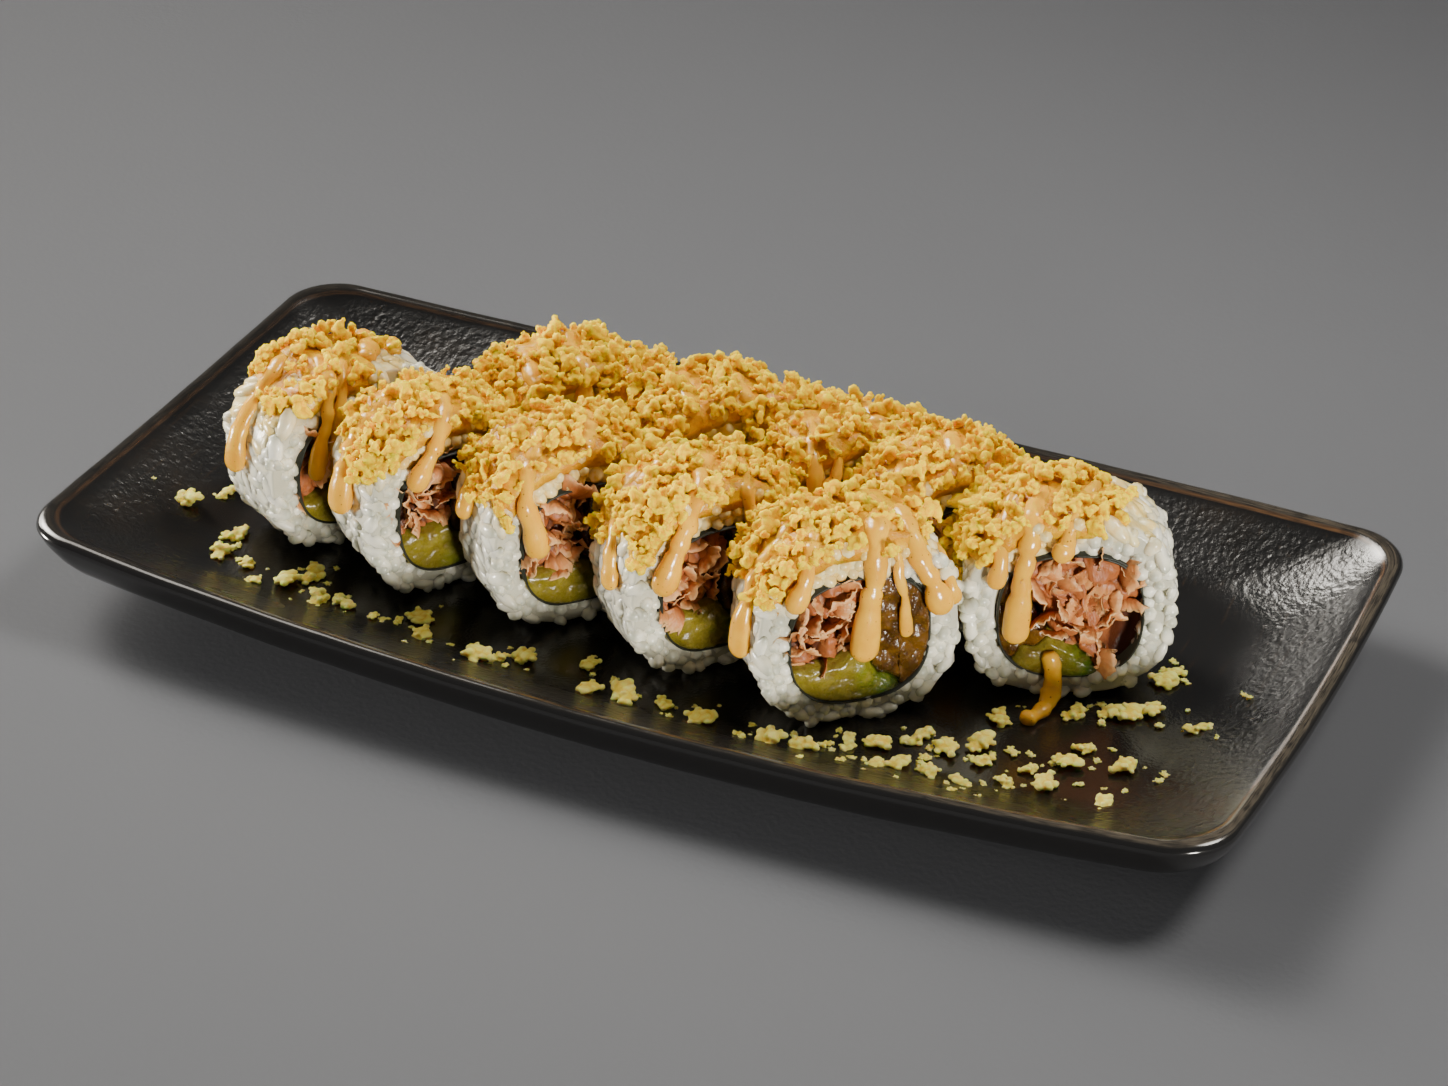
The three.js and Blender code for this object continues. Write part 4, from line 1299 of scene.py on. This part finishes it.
def strandMesh(stations, ways, radius, draw, dripping):
    line = smoothPath(stations, drizzle["steps"])
    ways = smoothPath(ways, drizzle["steps"])
    along = np.linspace(0, 1, len(line))
    seed = draw.uniform(0, 50)
    calm = drizzle["sway"] * smoothStep(1.0, 0.6, along)
    sway = np.array([[ripple(point, 6, seed), 0, 0.8 * ripple(point, 4, seed + 5)] for point in line])
    line = line + sway * calm[:, None]
    sizes = radius * np.array([1.1 + 0.5 * ripple(point, 3.2, seed + 9) for point in line])
    sizes *= smoothStep(-0.12, 0.1, along)
    if dripping:
        swell = smoothStep(0.72, 0.94, along)
        sizes = blend(sizes * drizzle["neck"], radius * drizzle["bulb"], swell)
        onward = (line[-1] - line[-2]) / np.linalg.norm(line[-1] - line[-2])
        turns = np.radians(drizzle["tip"])
        line = np.vstack([line, line[-1] + np.outer(np.sin(turns), onward) * sizes[-1]])
        ways = np.vstack([ways, [ways[-1]] * len(turns)])
        sizes = np.append(sizes, sizes[-1] * np.cos(turns))
    else:
        sizes *= smoothStep(1.12, 0.9, along)
    angles = np.linspace(0, 2 * math.pi, drizzle["around"], endpoint=False)
    loops = []
    for index, centre in enumerate(line):
        ahead = line[min(index + 1, len(line) - 1)] - line[max(index - 1, 0)]
        side = np.cross(ahead, ways[index])
        side /= max(np.linalg.norm(side), 1e-6)
        out = np.cross(side, ahead)
        out *= drizzle["flatten"] / max(np.linalg.norm(out), 1e-6)
        section = np.outer(np.cos(angles), side) + np.outer(np.sin(angles), out)
        loops.append(centre + sizes[index] * section)
    return skinLoops(loops)


def sauceFinish(graph):
    cream = graph.clouds(5, 3)
    body = graph.mix(cream.step(0.35, 0.7), *drizzle["sauce"])
    specks = graph.cells(1.5).step(0.16, 0.09) * graph.clouds(3, 1).step(0.42, 0.52)
    body = graph.mix(specks * 0.8, body, drizzle["speck"])
    skin = graph.clouds(1.5, 2)
    return {"Base Color": body, "Roughness": 0.13 + skin * 0.12, "Normal": graph.bump(skin, 0.1),
            **glow(0.3, (1.0, 0.5, 0.12), 0.0025), "Specular IOR Level": 0.5}


sauceMaterial = newMaterial("sauce", sauceFinish)
strandLines = {name: [] for name in rolls}


def makeDrizzle(name, names):
    draw = random.Random(31)
    gathering = Gathering()
    for rollName in names:
        roll = rolls[rollName]
        for strand in strands[rollName]:
            stations, ways = strandStations(roll, strand)
            dripping = "side" in strand or "face" in strand
            points, faces = strandMesh(stations, ways, strand["radius"], draw, dripping)
            strandLines[rollName].append((smoothPath(stations, 4), strand["radius"]))
            gathering.add(toPlate(roll, points), faces)
    return gathering.build(name, sauceMaterial)


drizzleFront = makeDrizzle("drizzleFrontRow", frontNames)
drizzleBack = makeDrizzle("drizzleBackRow", backNames)
print("drizzle is poured")


# The topping: a bed of glaze and crushed crumbs with whole crumbs scattered over it

heaps = [   # between neighbours, as the place of the top and the half sizes
    (-29, 21, 49.5, (12, 12, 13)), (7, 23, 50, (12, 12, 13)), (38, 21, 49.5, (11, 12, 13)),
    (64, 15, 49, (10, 12, 12)), (66, 5, 45, (9, 10, 11)), (60, 1, 40, (8, 6, 12)),
    (-78, -9, 41, (8, 9, 10)), (-47, -15, 41, (8, 9, 10)), (-12, -16, 42, (8, 9, 10)),
    (25, -18, 42, (8, 9, 10)),
]


def bedRow(roll, y, angles, sauce):   # points of the bed's outer and inner side, and its cover by crumbs
    half = roll["thickness"] / 2
    end = float(smoothStep(0, 2.2, min(y + half + topping["overhang"], half + topping["behind"] - y)))
    outer = []
    inner = []
    covers = []
    for point in outerLoop(roll, y, edgeInset(roll, max(min(y, half), -half)) + topping["raise"], angles):
        share = coverAt(roll, point[0], y, point[2])
        lump = topping["lump"] * ripple(point, 3.2, roll["seed"] + 9)
        depth = (topping["bed"] + lump) * share * blend(0.35, 1, end) + topping["sunk"] * share
        away = outwards(roll, point)
        kept = half - topping["lip"] + (topping["lip"] + topping["behind"]) * smoothStep(0.3, 0.9, share)
        pulled = math.copysign(min(abs(y), kept), y) - y
        torn = (1 - end) * topping["ragged"] * ripple(point, 2.4, roll["seed"])
        moved = np.array([0, pulled + torn, 0])
        outer.append(point + away * (depth - topping["sunk"]) + moved)
        inner.append(point - away * topping["under"] + moved)
        gaps = [np.linalg.norm(line - outer[-1], axis=1).min() - radius for line, radius in sauce]
        bare = float(smoothStep(-0.4, topping["clear"], min(gaps, default=9)))
        covers.append(float(smoothStep(0.35, 0.8, share)) * blend(0.35, 1, bare))
    return outer + inner[::-1], covers + [0] * len(inner)


def bedGathering(names):
    gathering = Gathering()
    angles = np.linspace(math.radians(2), math.radians(178), topping["steps"])
    for name in names:
        roll = rolls[name]
        half = roll["thickness"] / 2
        ys = np.linspace(-half - topping["overhang"], half + topping["behind"], topping["across"])
        rows = [bedRow(roll, y, angles, strandLines[name]) for y in ys]
        points, faces = skinLoops([loop for loop, _ in rows], ends="strip")
        gathering.add(toPlate(roll, points), faces, cover=np.concatenate([covers for _, covers in rows]))
    ball, faces = icosphere(3)
    for x, y, z, size in heaps:
        if (y > 0) == (names is backNames):
            points = ball * np.array(size) + (x, y, z - size[2])
            points += ball * [[0.8 * ripple(point, 4, 5)] for point in points]
            gathering.add(points, faces, cover=(ball[:, 2] > -0.1) * 1.0)
    return gathering


def bedFinish(graph):
    wet = graph.clouds(1.6, 3)
    body = graph.mix(graph.clouds(4, 3).step(0.4, 0.65), *topping["glaze"])
    body = graph.mix(graph.clouds(1.1, 2).step(0.6, 0.75) * 0.5, body, topping["burnt"])
    return {"Base Color": body, "Roughness": 0.24 + wet * 0.25, "Normal": graph.bump(wet, 0.55),
            **glow(0.3, (1.0, 0.5, 0.05), 0.002), "Specular IOR Level": 0.22}


def crumbFinish(base, amber, tops):   # colours of the body, the painted shade in its creases and the painted highlight on its knob tops
    def finish(graph):
        tip = graph.value("tip")
        fine = graph.cells(1.0, "SMOOTH_F1")
        deep = blend(np.array(base), amber, 0.4)
        body = graph.mix(graph.value("tone"), base, blend(np.array(base), tops, 0.3))
        # painted highlight on the tops of the knobs
        body = graph.mix(tip.step(0.45, 1), body, tops)
        # painted shade in the creases between the knobs
        body = graph.mix(tip.step(0.3, 0.0) * 0.75, body, amber)
        body = graph.mix(graph.clouds(3, 2).step(0.6, 0.8) * 0.4, body, deep)
        return {"Base Color": body, "Roughness": 0.36 + fine * 0.3, "Normal": graph.bump(1 - fine, 0.28),
                **glow(0.55, (1.0, 0.62, 0.06), 0.0016), "Specular IOR Level": 0.05}
    return finish


bedMaterial = newMaterial("toppingGlaze", bedFinish)
crumbMaterial = newMaterial("crumb", crumbFinish(*crumb["heapedColours"]))
fallenMaterial = newMaterial("fallenCrumb", crumbFinish(*crumb["fallenColours"]))
heaped = kindsOf("heaped", crumbKinds(41, {"floret": 9, "flake": 4, "shred": 4}, crumb["triangles"]))
toppings = []
for row, names, seed in (("Front", frontNames, 51), ("Back", backNames, 61)):
    bed = bedGathering(names)
    toppings.append(bed.build(f"toppingBed{row}Row", bedMaterial))
    crumbHost = bed.build(f"crumbs{row}RowHost")
    toppings.append(scatter(crumbHost, heaped, crumbMaterial, seed, **topping["scatter"]))
dropKinds(heaped)
print("crumbs are on")


# Crumbs that fell on the plate, as (x, y, size), with smaller bits round each

bits = {"number": (1, 2, 2, 3), "reach": (3.5, 8), "size": (0.16, 0.42), "flat": 0.65, "sunk": 0.15}
fallen = [
    (-125, -25, 1.3), (-120.5, -16.5, 0.8), (-110, -29, 1.0), (-109, -37, 1.2), (-101, -38.5, 0.8),
    (-96, -44, 0.7), (-89, -41, 1.3), (-85, -36, 1.1), (-79, -44, 1.0), (-73, -43, 0.9), (-64, -45, 0.6),
    (-54, -41, 1.1), (-50, -47, 1.0), (-34, -50, 1.4), (-25, -45, 1.2), (-11, -41, 0.9), (-6, -51, 1.1),
    (2, -49.5, 1.4), (11, -48, 0.9), (21, -50, 1.2), (31, -52.5, 0.5), (38, -51, 1.3), (45, -50, 1.2),
    (53, -43, 0.8), (59, -41, 1.1), (66, -35, 1.0), (73, -36.5, 1.2), (66, -46, 1.1), (73, -46, 1.0),
    (79, -32, 1.2), (82, -37, 0.9), (79, -21, 1.1), (97, -39, 1.2), (98, -30, 1.1), (100, -23.5, 0.9),
    (110, -26, 1.2), (111, -41, 1.0), (120, -7.5, 0.8), (125, 7, 0.35), (104, -7, 1.3), (100, -9, 1.0),
    (108, -4, 1.1), (106.5, 8, 1.2), (107, 12, 0.9), (93, -12, 0.9), (119, -26, 0.4), (123, -43, 0.35),
    (81, -53.5, 0.5), (87, -53, 0.45), (81, -47, 0.8), (55, -52, 0.5), (92, -35.5, 0.8), (62, -49, 0.8),
    (89, -42, 0.7), (86, -31, 0.6), (70, -41, 0.5), (49, -46, 0.6), (-58, -44, 0.5), (-30, -47.5, 0.7),
]


def makeFallen():
    draw = random.Random(71)
    kinds = crumbKinds(73, {"flake": 14}, crumb["fallenTriangles"])
    small = crumbKinds(74, {"flake": 6}, crumb["smallTriangles"])
    gathering = Gathering()
    spots = [(spot, kinds) for spot in fallen]
    for x, y, size in fallen:
        for _ in range(draw.choice(bits["number"])):
            turn = draw.uniform(0, 2 * math.pi)
            reach = draw.uniform(*bits["reach"]) * size
            bit = (x + reach * math.cos(turn), y + reach * math.sin(turn), draw.uniform(*bits["size"]))
            spots.append((bit, small))
    for (x, y, size), choices in spots:
        points, faces, tip = draw.choice(choices)
        turn = draw.uniform(0, 2 * math.pi)
        cosine, sine = math.cos(turn), math.sin(turn)
        spun = points @ np.array([[cosine, sine, 0], [-sine, cosine, 0], [0, 0, bits["flat"]]]) * size
        spun += (x, y, dishHeight(x, y) - spun[:, 2].min() - bits["sunk"])
        gathering.add(spun, faces, tone=draw.random(), tip=tip)
    return gathering.build("crumbsOnPlate", fallenMaterial)


pool = {   # runs down the last roll's face on to the plate: x, how far before the face, and z
    "radius": 1.75,
    "down": [(-4.2, 0.4, 12), (-3.2, 1.0, 8), (-3, 1.6, 3.8)],
    "along": [(-4.5, 4.5, 1.2), (-7, 7.5, 0.8), (-10, 10, 0.7)],
}


def makePool():
    roll = rolls["back_5"]
    face = -roll["thickness"] / 2
    stations = [(x, face - before, z) for x, before, z in pool["down"] + pool["along"]]
    ways = [(0, -1, 0)] * len(pool["down"]) + [(0, 0, 1)] * len(pool["along"])
    points, faces = strandMesh(stations, ways, pool["radius"], random.Random(77), False)
    gathering = Gathering()
    gathering.add(toPlate(roll, points), faces)
    return gathering.build("drizzleOnPlate", sauceMaterial)


crumbsOnPlate = makeFallen()
poolPiece = makePool()
print("fallen crumbs lie on the plate")


# Every piece rides on the one body and stands for its solids

def settle(piece, slot, *nodes):
    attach(piece, "root")
    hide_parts(*nodes)


def nodesOf(names, layer):
    return [f"{name}_{layer}" for name in names]


settle(plateDish, "plate_glaze", "plate")
settle(crumbsOnPlate, "gourd", "plate")
settle(poolPiece, "fish", "plate")
for piece, names in zip(riceRows, (frontNames, frontNames, backNames, backNames)):
    settle(piece, "rice", *nodesOf(names, "rice"))
for piece, names in zip(toppings, (frontNames, frontNames, backNames, backNames)):
    settle(piece, "rice", *nodesOf(names, "rice"))
settle(drizzleFront, "rice", *nodesOf(frontNames, "rice"))
settle(drizzleBack, "rice", *nodesOf(backNames, "rice"))
for piece, layer in ((seaweedSleeves, "seaweed"), (fishPiece, "fish"), (avocadoPiece, "avocado"),
                     (gourdPiece, "gourd")):
    settle(piece, layer, *nodesOf(rolls, layer))
